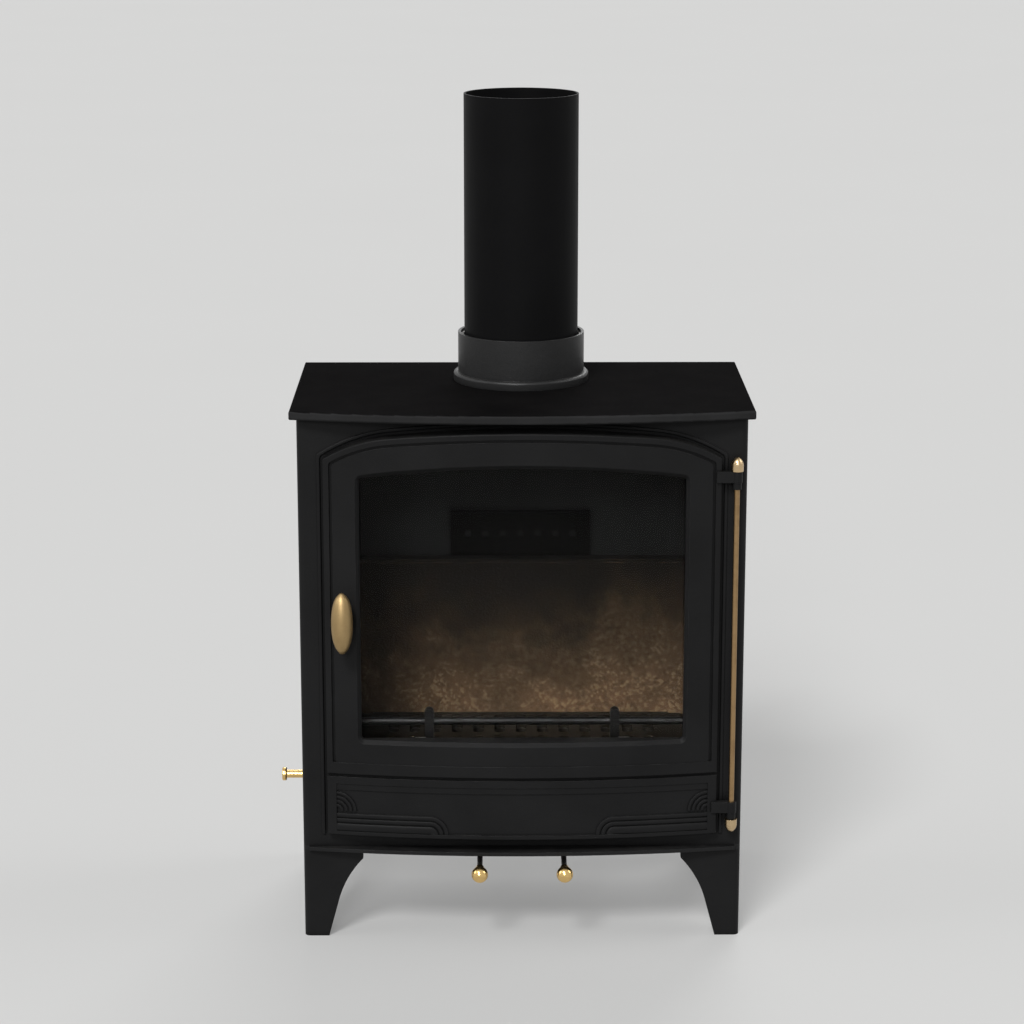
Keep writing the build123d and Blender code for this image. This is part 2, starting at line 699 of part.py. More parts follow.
def top_bolts():
    """The bolts that pull the top plate down onto its brackets."""
    low = SHELL_TOP - BRACKET_THICK
    bolt = bar_z(BOLT_HEAD_RADIUS, 0, 0, low - BOLT_HEAD_THICK, low)
    bolt += bar_z(BOLT_RADIUS, 0, 0, low, SHELL_TOP + BOLT_BITE)
    return group([Pos(x, y, 0) * bolt for x, y in bracket_places()])


# Flue
def flue_collar():
    """The socket on the top plate: a rounded flange, a neck and an inner ledge."""
    outline = Polyline(
        (FLUE_HOLE_RADIUS, 0),
        (COLLAR_FLANGE_RADIUS, 0),
        (COLLAR_FLANGE_RADIUS, COLLAR_FLANGE_THICK),
        (COLLAR_RADIUS, COLLAR_FLANGE_THICK),
        (COLLAR_RADIUS, COLLAR_HEIGHT),
        (COLLAR_BORE, COLLAR_HEIGHT),
        (COLLAR_BORE, COLLAR_LEDGE),
        (FLUE_HOLE_RADIUS, COLLAR_LEDGE),
        close=True,
    )
    face = make_face(outline)
    lip = [v for v in face.vertices() if v.X > COLLAR_FLANGE_RADIUS - NEAR and v.Y > NEAR]
    face = fillet(lip, COLLAR_ROUND)
    collar = Pos(0, FLUE_Y, TOP_FACE) * revolve(Plane.XZ * face, Axis.Z)
    for x, y in bolt_circle():
        collar -= bar_z(BOLT_RADIUS + PIN_FIT, x, y, TOP_FACE, TOP_FACE + BOLT_BITE + PIN_FIT)
    return collar


def collar_bolts():
    """Bolts that come up through the top plate into the collar."""
    bolt = bar_z(BOLT_HEAD_RADIUS, 0, 0, SHELL_TOP - BOLT_HEAD_THICK, SHELL_TOP)
    bolt += bar_z(BOLT_RADIUS, 0, 0, SHELL_TOP, TOP_FACE + BOLT_BITE)
    return group([Pos(x, y, 0) * bolt for x, y in bolt_circle()])


def flue_pipe():
    """The first length of flue pipe, seated on the collar's ledge."""
    pipe = bar_z(PIPE_RADIUS, 0, FLUE_Y, COLLAR_SEAT, PIPE_TOP)
    return pipe - bar_z(PIPE_RADIUS - PIPE_WALL, 0, FLUE_Y, COLLAR_SEAT, PIPE_TOP)


def flue_seal_rope():
    """The rope packed between the pipe and the collar."""
    high = COLLAR_TOP - FLUE_ROPE_SINK
    low = high - FLUE_ROPE_HEIGHT
    rope = bar_z(COLLAR_BORE - SOFT_GAP, 0, FLUE_Y, low, high)
    return rope - bar_z(PIPE_RADIUS + SOFT_GAP, 0, FLUE_Y, low, high)


# Firebox
def tray_ledge():
    """The angle on the left side that carries the firebed tray."""
    y0 = FRONT_THICK + LEDGE_END_GAP
    y1 = DUCT_FACE - LEDGE_END_GAP
    inner = -INNER_X + LEDGE_WIDTH
    shelf = block(-INNER_X, inner, y0, y1, TRAY_HEIGHT - LEDGE_THICK, TRAY_HEIGHT)
    leg_x = -INNER_X + LEDGE_THICK
    return shelf + block(-INNER_X, leg_x, y0, y1, TRAY_HEIGHT - LEDGE_LEG, TRAY_HEIGHT)


def firebed_tray():
    """The shelf round the grate that the bricks, grate and fuel guard stand on."""
    tray = block(-INNER_X, INNER_X, FRONT_THICK, BACK_FACE, TRAY_HEIGHT, TRAY_TOP)
    half = TRAY_OPENING_HALF
    tray -= block(-half, half, TRAY_OPENING_FRONT, TRAY_OPENING_BACK, TRAY_HEIGHT, TRAY_TOP)
    tray -= block(-DUCT_HALF, DUCT_HALF, DUCT_FACE, BACK_FACE, TRAY_HEIGHT, TRAY_TOP)
    for x in (-GUARD_SPREAD, GUARD_SPREAD):
        tray -= bar_z(GUARD_PEG_RADIUS + GUARD_PEG_GAP, x, GUARD_Y, TRAY_HEIGHT, TRAY_TOP)
    return tray


def bevelled(brick):
    """A firebrick with its top edges taken off."""
    return chamfer(brick.faces().sort_by(Axis.Z)[-1].edges(), BRICK_BEVEL)


def firebrick_rear():
    """The brick at the back of the fire, against the air duct."""
    return bevelled(block(-INNER_X, INNER_X, REAR_BRICK_FACE, DUCT_FACE, TRAY_TOP, BRICK_TOP))


def firebrick_side():
    """The brick at the left of the fire."""
    inner = -INNER_X + BRICK_THICK
    return bevelled(block(-INNER_X, inner, BRICK_FRONT, REAR_BRICK_FACE, TRAY_TOP, BRICK_TOP))


def slot_pattern(z0, z1):
    """The slots that the grate and the riddling plate share."""
    slot = Pos(0, 0, z0) * extrude(SlotOverall(SLOT_LENGTH, SLOT_WIDTH, rotation=90), amount=z1 - z0)
    first = -(SLOT_COLUMNS - 1) / 2 * SLOT_PITCH
    rows = (GRATE_MIDDLE - SLOT_ROW_PITCH / 2, GRATE_MIDDLE + SLOT_ROW_PITCH / 2)
    columns = [first + n * SLOT_PITCH for n in range(SLOT_COLUMNS)]
    return [Pos(x, y, 0) * slot for x in columns for y in rows]


def grate_frame():
    """The fixed grate: a slotted block hung by its flange in the tray's opening."""
    half = TRAY_OPENING_HALF - GRATE_EDGE_GAP
    top = GRATE_BOTTOM + GRATE_THICK
    grate = block(-half, half, GRATE_FRONT, GRATE_BACK, GRATE_BOTTOM, top)
    wide = TRAY_OPENING_HALF + GRATE_FLANGE
    front = TRAY_OPENING_FRONT - GRATE_FLANGE_FRONT
    back = TRAY_OPENING_BACK + GRATE_FLANGE_FRONT
    grate += block(-wide, wide, front, back, TRAY_TOP, TRAY_TOP + GRATE_FLANGE_THICK)
    return grate - slot_pattern(GRATE_BOTTOM, top)


def riddling_plate():
    """The sliding plate below the grate."""
    plate = block(-RIDDLE_HALF, RIDDLE_HALF, RIDDLE_FRONT, RIDDLE_BACK, RIDDLE_BOTTOM, RIDDLE_TOP)
    return plate - slot_pattern(RIDDLE_BOTTOM, RIDDLE_TOP)


def riddling_lug():
    """The lug below the plate's left end that the rod pulls."""
    y0 = RIDDLE_ROD_Y - RIDDLE_LUG_WIDTH / 2
    y1 = RIDDLE_ROD_Y + RIDDLE_LUG_WIDTH / 2
    low = RIDDLE_ROD_HEIGHT - RIDDLE_LUG_FOOT
    inner = -RIDDLE_HALF + RIDDLE_LUG_THICK
    hole = RIDDLE_ROD_RADIUS + PIN_FIT
    plain = block(-RIDDLE_HALF, inner, y0, y1, low, RIDDLE_BOTTOM)
    return plain - bar_x(hole, RIDDLE_ROD_Y, RIDDLE_ROD_HEIGHT, -RIDDLE_HALF, inner)


def riddling_rails():
    """Two runners under the tray that the riddling plate slides in."""
    half = RIDDLE_HALF + RIDDLE_RAIL_REACH
    low = RIDDLE_BOTTOM - SLIDE_GAP - RAIL_THICK
    leg_back = RIDDLE_FRONT - SLIDE_GAP
    front = leg_back - RIDDLE_RAIL
    rail = block(-half, half, front, leg_back, low, TRAY_HEIGHT)
    rail += block(-half, half, front, front + RIDDLE_RAIL + RIDDLE_RAIL_LIP, low, low + RAIL_THICK)
    twin = mirror(rail, about=Plane.XZ.offset(-GRATE_MIDDLE))
    return group([rail, twin])


def riddling_rod():
    """The rod from the riddling plate's lug out through the left side."""
    inner = -RIDDLE_HALF + RIDDLE_LUG_THICK
    outer = RIDDLE_END + RIDDLE_DISC_THICK
    return bar_x(RIDDLE_ROD_RADIUS, RIDDLE_ROD_Y, RIDDLE_ROD_HEIGHT, outer, inner)


def riddling_knob():
    """The knob outside: a stem over the rod's end and a rounded disc."""
    disc_back = RIDDLE_END + RIDDLE_DISC_THICK
    disc = bar_x(RIDDLE_DISC_RADIUS, RIDDLE_ROD_Y, RIDDLE_ROD_HEIGHT, RIDDLE_END, disc_back)
    disc = fillet(disc.edges().filter_by(GeomType.CIRCLE), RIDDLE_DISC_ROUND)
    stem_end = disc_back + RIDDLE_STEM_LENGTH
    knob = disc + bar_x(RIDDLE_STEM_RADIUS, RIDDLE_ROD_Y, RIDDLE_ROD_HEIGHT, disc_back, stem_end)
    bore = RIDDLE_ROD_RADIUS + PIN_FIT
    return knob - bar_x(bore, RIDDLE_ROD_Y, RIDDLE_ROD_HEIGHT, disc_back, stem_end)


def guard_post():
    """The left post of the fuel guard: a foot, a round top and a peg in the tray."""
    half = GUARD_POST_WIDTH / 2
    stem_top = GUARD_TOP - half
    y0 = GUARD_Y - half
    y1 = GUARD_Y + half
    post = block(-half, half, y0, y1, TRAY_TOP, stem_top)
    post += bar_y(half, 0, stem_top, y0, y1)
    foot = GUARD_FOOT_WIDTH / 2
    foot_top = TRAY_TOP + GUARD_FOOT_HEIGHT
    post += block(-foot, foot, GUARD_Y - foot, GUARD_Y + foot, TRAY_TOP, foot_top)
    post += bar_z(GUARD_PEG_RADIUS, 0, GUARD_Y, TRAY_HEIGHT, TRAY_TOP)
    post -= bar_x(GUARD_BAR_RADIUS + PIN_FIT, GUARD_Y, GUARD_BAR_HEIGHT, -half, half)
    return Pos(-GUARD_SPREAD, 0, 0) * post


def guard_bar():
    """The round bar that keeps the fuel off the glass."""
    return bar_x(GUARD_BAR_RADIUS, GUARD_Y, GUARD_BAR_HEIGHT, -GUARD_BAR_HALF, GUARD_BAR_HALF)


def secondary_air_duct():
    """The channel that takes air up behind the rear brick to a row of holes."""
    duct = block(-DUCT_HALF, DUCT_HALF, DUCT_FACE, BACK_FACE, BASE_TOP, DUCT_TOP)
    inner = DUCT_HALF - DUCT_WALL
    top = DUCT_TOP - DUCT_WALL
    duct -= block(-inner, inner, DUCT_FACE + DUCT_WALL, BACK_FACE, BASE_TOP, top)
    first = -(DUCT_HOLE_COUNT - 1) / 2 * DUCT_HOLE_PITCH
    z = DUCT_TOP - DUCT_HOLE_DROP
    for n in range(DUCT_HOLE_COUNT):
        x = first + n * DUCT_HOLE_PITCH
        duct -= bar_y(DUCT_HOLE_RADIUS, x, z, DUCT_FACE, DUCT_FACE + DUCT_WALL)
    return duct


def airwash_deflector():
    """The angle under the top that turns air down over the glass."""
    y1 = FRONT_THICK + AIRWASH_DEPTH
    low = SHELL_TOP - AIRWASH_DROP
    shelf_low = SHELL_TOP - AIRWASH_THICK
    shelf = block(-AIRWASH_HALF, AIRWASH_HALF, FRONT_THICK, y1, shelf_low, SHELL_TOP)
    return shelf + block(-AIRWASH_HALF, AIRWASH_HALF, y1 - AIRWASH_THICK, y1, low, shelf_low)


def sloped(x0, x1, length, z0, z1):
    """A plate that rises to the front from the throat plate's rear edge."""
    rear = Pos(0, BACK_FACE - THROAT_REAR_GAP, THROAT_REAR_HEIGHT)
    return rear * Rot(-THROAT_TILT, 0, 0) * block(x0, x1, -length, 0, z0, z1)


def throat_plate():
    """The sloping plate above the fire that smoke goes round."""
    half = INNER_X - THROAT_SIDE_GAP
    return sloped(-half, half, THROAT_LENGTH, 0, THROAT_THICK)


def baffle_rests():
    """Sloping strips on the two sides that carry the throat plate."""
    strip = sloped(-INNER_X, -INNER_X + REST_WIDTH, REST_LENGTH, -REST_THICK, 0)
    return pair(strip)


# Ash pan
def pan_runners():
    """Two strips on the base plate that hold the ash pan clear of the air inlet."""
    inner = PAN_HALF - PAN_TAPER - RUNNER_WIDTH
    outer = PAN_HALF - PAN_TAPER
    return pair(block(-outer, -inner, PAN_FRONT, PAN_BACK, BASE_TOP, PAN_FLOOR))


def pan_body(shrink, z0, z1):
    """A tapered oblong for the pan's outside or inside."""
    depth = PAN_BACK - PAN_FRONT - 2 * shrink
    width = 2 * PAN_HALF - 2 * shrink
    foot = Rectangle(width - 2 * PAN_TAPER, depth - 2 * PAN_TAPER)
    mouth = Rectangle(width, depth)
    middle = (PAN_FRONT + PAN_BACK) / 2
    return loft([Pos(0, middle, z0) * foot, Pos(0, middle, z1) * mouth])


def ash_pan():
    """The loose pan under the grate, with a finger grip on its front edge."""
    pan = pan_body(0, PAN_FLOOR, PAN_RIM) - pan_body(PAN_WALL, PAN_FLOOR + PAN_WALL, PAN_RIM)
    grip_front = PAN_FRONT - PAN_GRIP_REACH
    grip = block(-PAN_GRIP_HALF, PAN_GRIP_HALF, grip_front, PAN_FRONT + PAN_WALL,
                 PAN_RIM - PAN_WALL, PAN_RIM)
    grip = fillet(grip.edges().filter_by(Axis.Z).sort_by(Axis.Y)[:2], PAN_GRIP_REACH / 2)
    return pan + grip


# Air controls
def air_plate(x, slot_front, slot_length):
    """A slide below the base plate with the tab that its rod pulls."""
    half = AIR_SLOT_HALF + AIR_PLATE_LAP
    y0 = slot_front - AIR_PLATE_LAP
    y1 = slot_front + slot_length + AIR_PLATE_LAP
    plate = block(x - half, x + half, y0, y1, AIR_PLATE_BOTTOM, AIR_PLATE_TOP)
    low = AIR_HEIGHT - AIR_TAB_HANG
    tab_back = y0 + AIR_PLATE_THICK
    plate += block(x - AIR_TAB_HALF, x + AIR_TAB_HALF, y0, tab_back, low, AIR_PLATE_BOTTOM)
    return plate - bar_y(AIR_ROD_RADIUS + PIN_FIT, x, AIR_HEIGHT, y0, tab_back)


def air_rod(x, slot_front):
    """The rod between a knob and its slide."""
    start = AIR_KNOB_Y + AIR_KNOB_RADIUS + AIR_NECK_LENGTH - AIR_KNOB_BORE
    return bar_y(AIR_ROD_RADIUS, x, AIR_HEIGHT, start, slot_front - AIR_PLATE_LAP + AIR_PLATE_THICK)


def air_knob(x):
    """A ball knob with a short neck over its rod's end."""
    neck_end = AIR_KNOB_Y + AIR_KNOB_RADIUS + AIR_NECK_LENGTH
    knob = Pos(x, AIR_KNOB_Y, AIR_HEIGHT) * Sphere(AIR_KNOB_RADIUS)
    knob += bar_y(AIR_NECK_RADIUS, x, AIR_HEIGHT, AIR_KNOB_Y, neck_end)
    bore_start = neck_end - AIR_KNOB_BORE
    return knob - bar_y(AIR_ROD_RADIUS + PIN_FIT, x, AIR_HEIGHT, bore_start, neck_end)


def slide_rails():
    """Four keepers below the base plate that the two slides run in."""
    rails = []
    inlets = ((-AIR_X, PRIMARY_SLOT_FRONT, PRIMARY_SLOT_LENGTH),
              (AIR_X, SECONDARY_SLOT_FRONT, SECONDARY_SLOT_LENGTH))
    inner = AIR_SLOT_HALF + AIR_PLATE_LAP + SLIDE_GAP
    low = AIR_PLATE_BOTTOM - SLIDE_GAP - RAIL_THICK
    for x, slot_front, slot_length in inlets:
        y0 = slot_front - AIR_PLATE_LAP - AIR_TRAVEL
        y1 = slot_front + slot_length + AIR_PLATE_LAP
        keeper = block(inner, inner + RAIL_THICK, y0, y1, low, LEG_HEIGHT)
        keeper += block(inner - RAIL_LIP, inner, y0, y1, low, low + RAIL_THICK)
        rails += [Pos(x, 0, 0) * keeper, Pos(x, 0, 0) * mirrored(keeper)]
    return group(rails)


def air_guide_bracket():
    """The angle under the lip that both rods pass through."""
    low = LEG_HEIGHT - GUIDE_HANG
    back = GUIDE_Y + GUIDE_THICK
    foot = block(-GUIDE_HALF, GUIDE_HALF, back - GUIDE_FOOT, back, LEG_HEIGHT - GUIDE_THICK, LEG_HEIGHT)
    bracket = foot + block(-GUIDE_HALF, GUIDE_HALF, GUIDE_Y, back, low, LEG_HEIGHT)
    for x in (-AIR_X, AIR_X):
        bracket -= bar_y(AIR_ROD_RADIUS + RUNNING_FIT, x, AIR_HEIGHT, GUIDE_Y, back)
    return bracket


# Door
def lug(top):
    """A hinge lug on the door's right edge, from its top down."""
    low = top - LUG_HEIGHT
    eye = bar_z(LUG_RADIUS, HINGE_X, HINGE_Y, low, top)
    arm_x = DOOR_WIDTH / 2 - LUG_RADIUS
    arm_y = HINGE_Y - LUG_ARM_THICK / 2
    return eye + block(arm_x, HINGE_X, arm_y, arm_y + LUG_ARM_THICK, low, top)


def bow_edges(body, radius):
    """The edges that lie on a cylinder about the bow's axis."""
    middle = bow_middle(DOOR_EDGE_FRONT, DOOR_WIDTH / 2)
    return [e for e in body.edges() if abs(math.hypot((e @ 0.5).X, (e @ 0.5).Y - middle) - radius) < NEAR]


def door_blank():
    """The bowed casting with its hinge lugs, before it is opened out."""
    body = front_prism(door_face(0), -FAR, DOOR_BACK) & door_bow()
    body = fillet(bow_edges(body, BOW_RADIUS), DOOR_EDGE_ROUND)
    for top in (LUG_TOP, LOWER_LUG_TOP):
        body += lug(top)
    return body - bar_z(HINGE_PIN_RADIUS + RUNNING_FIT, HINGE_X, HINGE_Y, DOOR_BOTTOM, DOOR_TOP)


def quarter(outer, inner):
    """A quarter of a flat ring, or of a disc, to the left of and above its centre."""
    ring = Circle(outer) - Circle(inner) if inner > 0 else Circle(outer)
    return ring & Pos(-outer / 2, outer / 2) * Rectangle(outer, outer)


def carving():
    """The outlines of the raised ribs on the right half of the lower panel."""
    fan = [FAN_RADIUS - n * FAN_PITCH for n in range(FAN_RIBS)]
    corner = Pos(PANEL_HALF_WIDTH, PANEL_BOTTOM + FAN_RISE)
    ribs = [corner * quarter(outer, outer - FAN_RIB) for outer in fan]
    run = PANEL_HALF_WIDTH - REED_TURN_X
    for n in range(REED_BANDS):
        outer = REED_RADIUS - n * REED_PITCH
        inner = outer - REED_PITCH + REED_GAP if n < REED_BANDS - 1 else 0
        straight = Pos(run / 2, (outer + inner) / 2) * Rectangle(run, outer - inner)
        ribs.append(Pos(REED_TURN_X, PANEL_BOTTOM) * (quarter(outer, inner) + straight))
    return ribs


def door_front_relief(body):
    """The band, groove, field, parting line and lower panel on the front."""
    inner = BAND_WIDTH + GROOVE_WIDTH
    groove = door_face(BAND_WIDTH, FIELD_BOTTOM) - door_face(inner, FIELD_BOTTOM - GROOVE_WIDTH)
    body -= relief(groove, GROOVE_DEPTH)
    body -= relief(door_face(inner, FIELD_BOTTOM), FIELD_DEPTH)
    low = PARTING_HEIGHT - PARTING_WIDTH / 2
    parting = panel_face(DOOR_WIDTH / 2 + OVERCUT, low, low + PARTING_WIDTH)
    body -= relief(parting, PARTING_DEPTH)
    body -= relief(panel_face(PANEL_HALF_WIDTH, PANEL_TOP, STEP_HEIGHT), STEP_DEPTH)
    body -= relief(panel_face(PANEL_HALF_WIDTH, PANEL_BOTTOM, PANEL_TOP), PANEL_DEPTH)
    crest = door_bow(PANEL_DEPTH - RIB_HEIGHT)
    for rib in carving():
        for face in (rib, mirrored(rib)):
            body += front_prism(face, -FAR, DOOR_BACK) & crest
    return body


def pocket_face():
    """The outline of the hollow behind the lower panel."""
    half = DOOR_WIDTH / 2 - POCKET_SIDE
    low = DOOR_BOTTOM + POCKET_SIDE
    return fillet(panel_face(half, low, POCKET_TOP).vertices(), POCKET_CORNER)


def clip_screw_places():
    """Where the glass clips' screws go: x, z and the turn that points the clip inward."""
    lap = GLASS_LAP + GLASS_EDGE_GAP + CLIP_FOOT / 2
    drop = WINDOW_ARCH_RADIUS - math.sqrt(WINDOW_ARCH_RADIUS ** 2 - CLIP_SPREAD ** 2)
    low = WINDOW_BOTTOM - lap
    high = WINDOW_TOP - drop + lap
    side = WINDOW_HALF_WIDTH + lap
    places = [(x, low, 0) for x in (-CLIP_SPREAD, CLIP_SPREAD)]
    places += [(x, high, 180) for x in (-CLIP_SPREAD, CLIP_SPREAD)]
    return places + [(-side, CLIP_SIDE_HEIGHT, 90), (side, CLIP_SIDE_HEIGHT, -90)]


def door_casting():
    """The door: a bowed, arched casting with a bevelled window and a hollow back."""
    body = door_front_relief(door_blank())
    body -= front_prism(window_face(0), -FAR, DOOR_BACK)
    rim = [e for e in bow_edges(body, BOW_RADIUS - FIELD_DEPTH) if in_window(e)]
    body = chamfer(rim, WINDOW_BEVEL)
    seat = DOOR_BACK - GLASS_SEAT_DEPTH
    body -= front_prism(window_face(GLASS_LAP + GLASS_EDGE_GAP), seat, DOOR_BACK)
    ring = door_face(ROPE_INSET) - door_face(ROPE_INSET + ROPE_WIDTH)
    body -= front_prism(ring, DOOR_BACK - ROPE_DEPTH, DOOR_BACK)
    body -= front_prism(pocket_face(), -FAR, DOOR_BACK) & door_bow(DOOR_WALL)
    body -= bar_y(SPINDLE_RADIUS + RUNNING_FIT, HANDLE_X, HANDLE_HEIGHT, -FAR, DOOR_BACK)
    for x, z, _ in clip_screw_places():
        start = DOOR_BACK - CLIP_SCREW_DEPTH - PIN_FIT
        body -= bar_y(CLIP_SCREW_RADIUS + PIN_FIT, x, z, start, DOOR_BACK)
    return body


def door_glass():
    """The flat heat-proof glass."""
    return front_prism(window_face(GLASS_LAP), GLASS_FRONT, GLASS_BACK)


def glass_gasket():
    """The flat tape seal between the glass and the door."""
    ring = window_face(GLASS_LAP) - window_face(GASKET_INNER_LAP)
    return front_prism(ring, GLASS_FRONT - GASKET_THICK, GLASS_FRONT)


def glass_clips():
    """Six cranked clips that press the glass onto its seal."""
    half = CLIP_WIDTH / 2
    foot_half = CLIP_FOOT / 2
    edge = foot_half + GLASS_EDGE_GAP
    tip = edge + CLIP_FINGER
    foot_back = DOOR_BACK + CLIP_THICK
    clip = block(-half, half, DOOR_BACK, foot_back, -foot_half, foot_half)
    clip += block(-half, half, DOOR_BACK, GLASS_BACK + CLIP_THICK, foot_half - CLIP_THICK, foot_half)
    clip += block(-half, half, GLASS_BACK, GLASS_BACK + CLIP_THICK, foot_half - CLIP_THICK, tip)
    clip -= bar_y(CLIP_SCREW_RADIUS + PIN_FIT, 0, 0, DOOR_BACK, foot_back)
    return group([Pos(x, 0, z) * Rot(0, turn, 0) * clip for x, z, turn in clip_screw_places()])


def clip_screws():
    """The six clips' screws."""
    start = DOOR_BACK - CLIP_SCREW_DEPTH
    head = DOOR_BACK + CLIP_THICK
    screw = bar_y(CLIP_SCREW_RADIUS, 0, 0, start, head)
    screw += bar_y(CLIP_SCREW_HEAD_RADIUS, 0, 0, head, head + CLIP_SCREW_HEAD_THICK)
    return group([Pos(x, 0, z) * screw for x, z, _ in clip_screw_places()])


def door_rope_seal():
    """The rope in the groove round the back of the door."""
    outer = door_face(ROPE_INSET + ROPE_SIDE_GAP)
    ring = outer - door_face(ROPE_INSET + ROPE_WIDTH - ROPE_SIDE_GAP)
    return front_prism(ring, DOOR_BACK - ROPE_DEPTH, -SOFT_GAP)


# Hinge pin
def finial():
    """A turned, bullet-shaped finial that stands on its bore's mouth."""
    r = FINIAL_RADIUS
    h = FINIAL_HEIGHT
    belly = h * FINIAL_BELLY
    outline = Curve() + [
        Line((0, 0), (r, 0)),
        Line((r, 0), (r, belly)),
        TangentArc((r, belly), (FINIAL_TIP, h), tangent=(0, 1)),
        Line((FINIAL_TIP, h), (0, h)),
        Line((0, h), (0, 0)),
    ]
    cap = revolve(Plane.XZ * make_face(outline), Axis.Z)
    return cap - bar_z(HINGE_PIN_RADIUS + PIN_FIT, 0, 0, 0, FINIAL_BORE_DEPTH + PIN_FIT)


UPPER_FINIAL_Z = LUG_TOP + SLIDE_GAP
LOWER_FINIAL_Z = LOWER_LUG_TOP - KNUCKLE_DROP - SLIDE_GAP


def hinge_pin():
    """The long rod that joins the knuckles and lugs."""
    low = LOWER_FINIAL_Z - FINIAL_BORE_DEPTH
    return bar_z(HINGE_PIN_RADIUS, HINGE_X, HINGE_Y, low, UPPER_FINIAL_Z + FINIAL_BORE_DEPTH)


def hinge_finial_top():
    """The finial above the upper lug."""
    return Pos(HINGE_X, HINGE_Y, UPPER_FINIAL_Z) * finial()


def hinge_finial_bottom():
    """The finial below the lower knuckle."""
    return Pos(HINGE_X, HINGE_Y, LOWER_FINIAL_Z) * Rot(180, 0, 0) * finial()


# Handle and latch
def handle_knob():
    """The olive-shaped grip, turned about its long axis, with blunt ends."""
    half = HANDLE_LENGTH / 2
    shoulder = (HANDLE_SHOULDER_RADIUS, half - HANDLE_SHOULDER_DROP)
    belly = ThreePointArc((shoulder[0], -shoulder[1]), (HANDLE_RADIUS, 0), shoulder)
    nose = TangentArc(shoulder, (HANDLE_TIP_RADIUS, half), tangent=belly % 1)
    heel = TangentArc((shoulder[0], -shoulder[1]), (HANDLE_TIP_RADIUS, -half), tangent=-(belly % 0))
    ends = Polyline((HANDLE_TIP_RADIUS, half), (0, half), (0, -half), (HANDLE_TIP_RADIUS, -half))
    grip = revolve(Plane.XZ * make_face(Curve() + [belly, nose, heel, ends]), Axis.Z)
    grip = Pos(HANDLE_X, HANDLE_Y, HANDLE_HEIGHT) * grip
    hole = SPINDLE_RADIUS + PIN_FIT
    return grip - bar_y(hole, HANDLE_X, HANDLE_HEIGHT, HANDLE_Y, HANDLE_Y + FAR)


def door_front_at(x):
    """Y of the door's bowed front at a place along X."""
    middle = bow_middle(DOOR_EDGE_FRONT, DOOR_WIDTH / 2)
    return middle - math.sqrt(BOW_RADIUS ** 2 - x ** 2)


def handle_spindle():
    """The spindle through the door, with its collar and a thinner threaded tail."""
    shaft = bar_y(SPINDLE_RADIUS, HANDLE_X, HANDLE_HEIGHT, HANDLE_Y, TONGUE_FRONT)
    face = door_front_at(abs(HANDLE_X) - SPINDLE_COLLAR_RADIUS) - SLIDE_GAP
    collar_front = face - SPINDLE_COLLAR_THICK
    shaft += bar_y(SPINDLE_COLLAR_RADIUS, HANDLE_X, HANDLE_HEIGHT, collar_front, face)
    tail_end = TONGUE_BACK + SPINDLE_NUT_THICK
    return shaft + bar_y(SPINDLE_TAIL_RADIUS, HANDLE_X, HANDLE_HEIGHT, TONGUE_FRONT, tail_end)


def latch_tongue():
    """The tapered tongue on the spindle, pointing up when the door is free."""
    tip = Pos(0, TONGUE_REACH - TONGUE_TIP_RADIUS) * Circle(TONGUE_TIP_RADIUS)
    face = make_hull(Circle(TONGUE_BOSS_RADIUS).edges() + tip.edges())
    face -= Circle(SPINDLE_TAIL_RADIUS + PIN_FIT)
    return Pos(HANDLE_X, 0, HANDLE_HEIGHT) * front_prism(face, TONGUE_FRONT, TONGUE_BACK)


def spindle_nut():
    """The nut that holds the tongue on the spindle."""
    face = RegularPolygon(SPINDLE_NUT_RADIUS, 6) - Circle(SPINDLE_TAIL_RADIUS + PIN_FIT)
    nut = front_prism(face, TONGUE_BACK, TONGUE_BACK + SPINDLE_NUT_THICK)
    return Pos(HANDLE_X, 0, HANDLE_HEIGHT) * nut


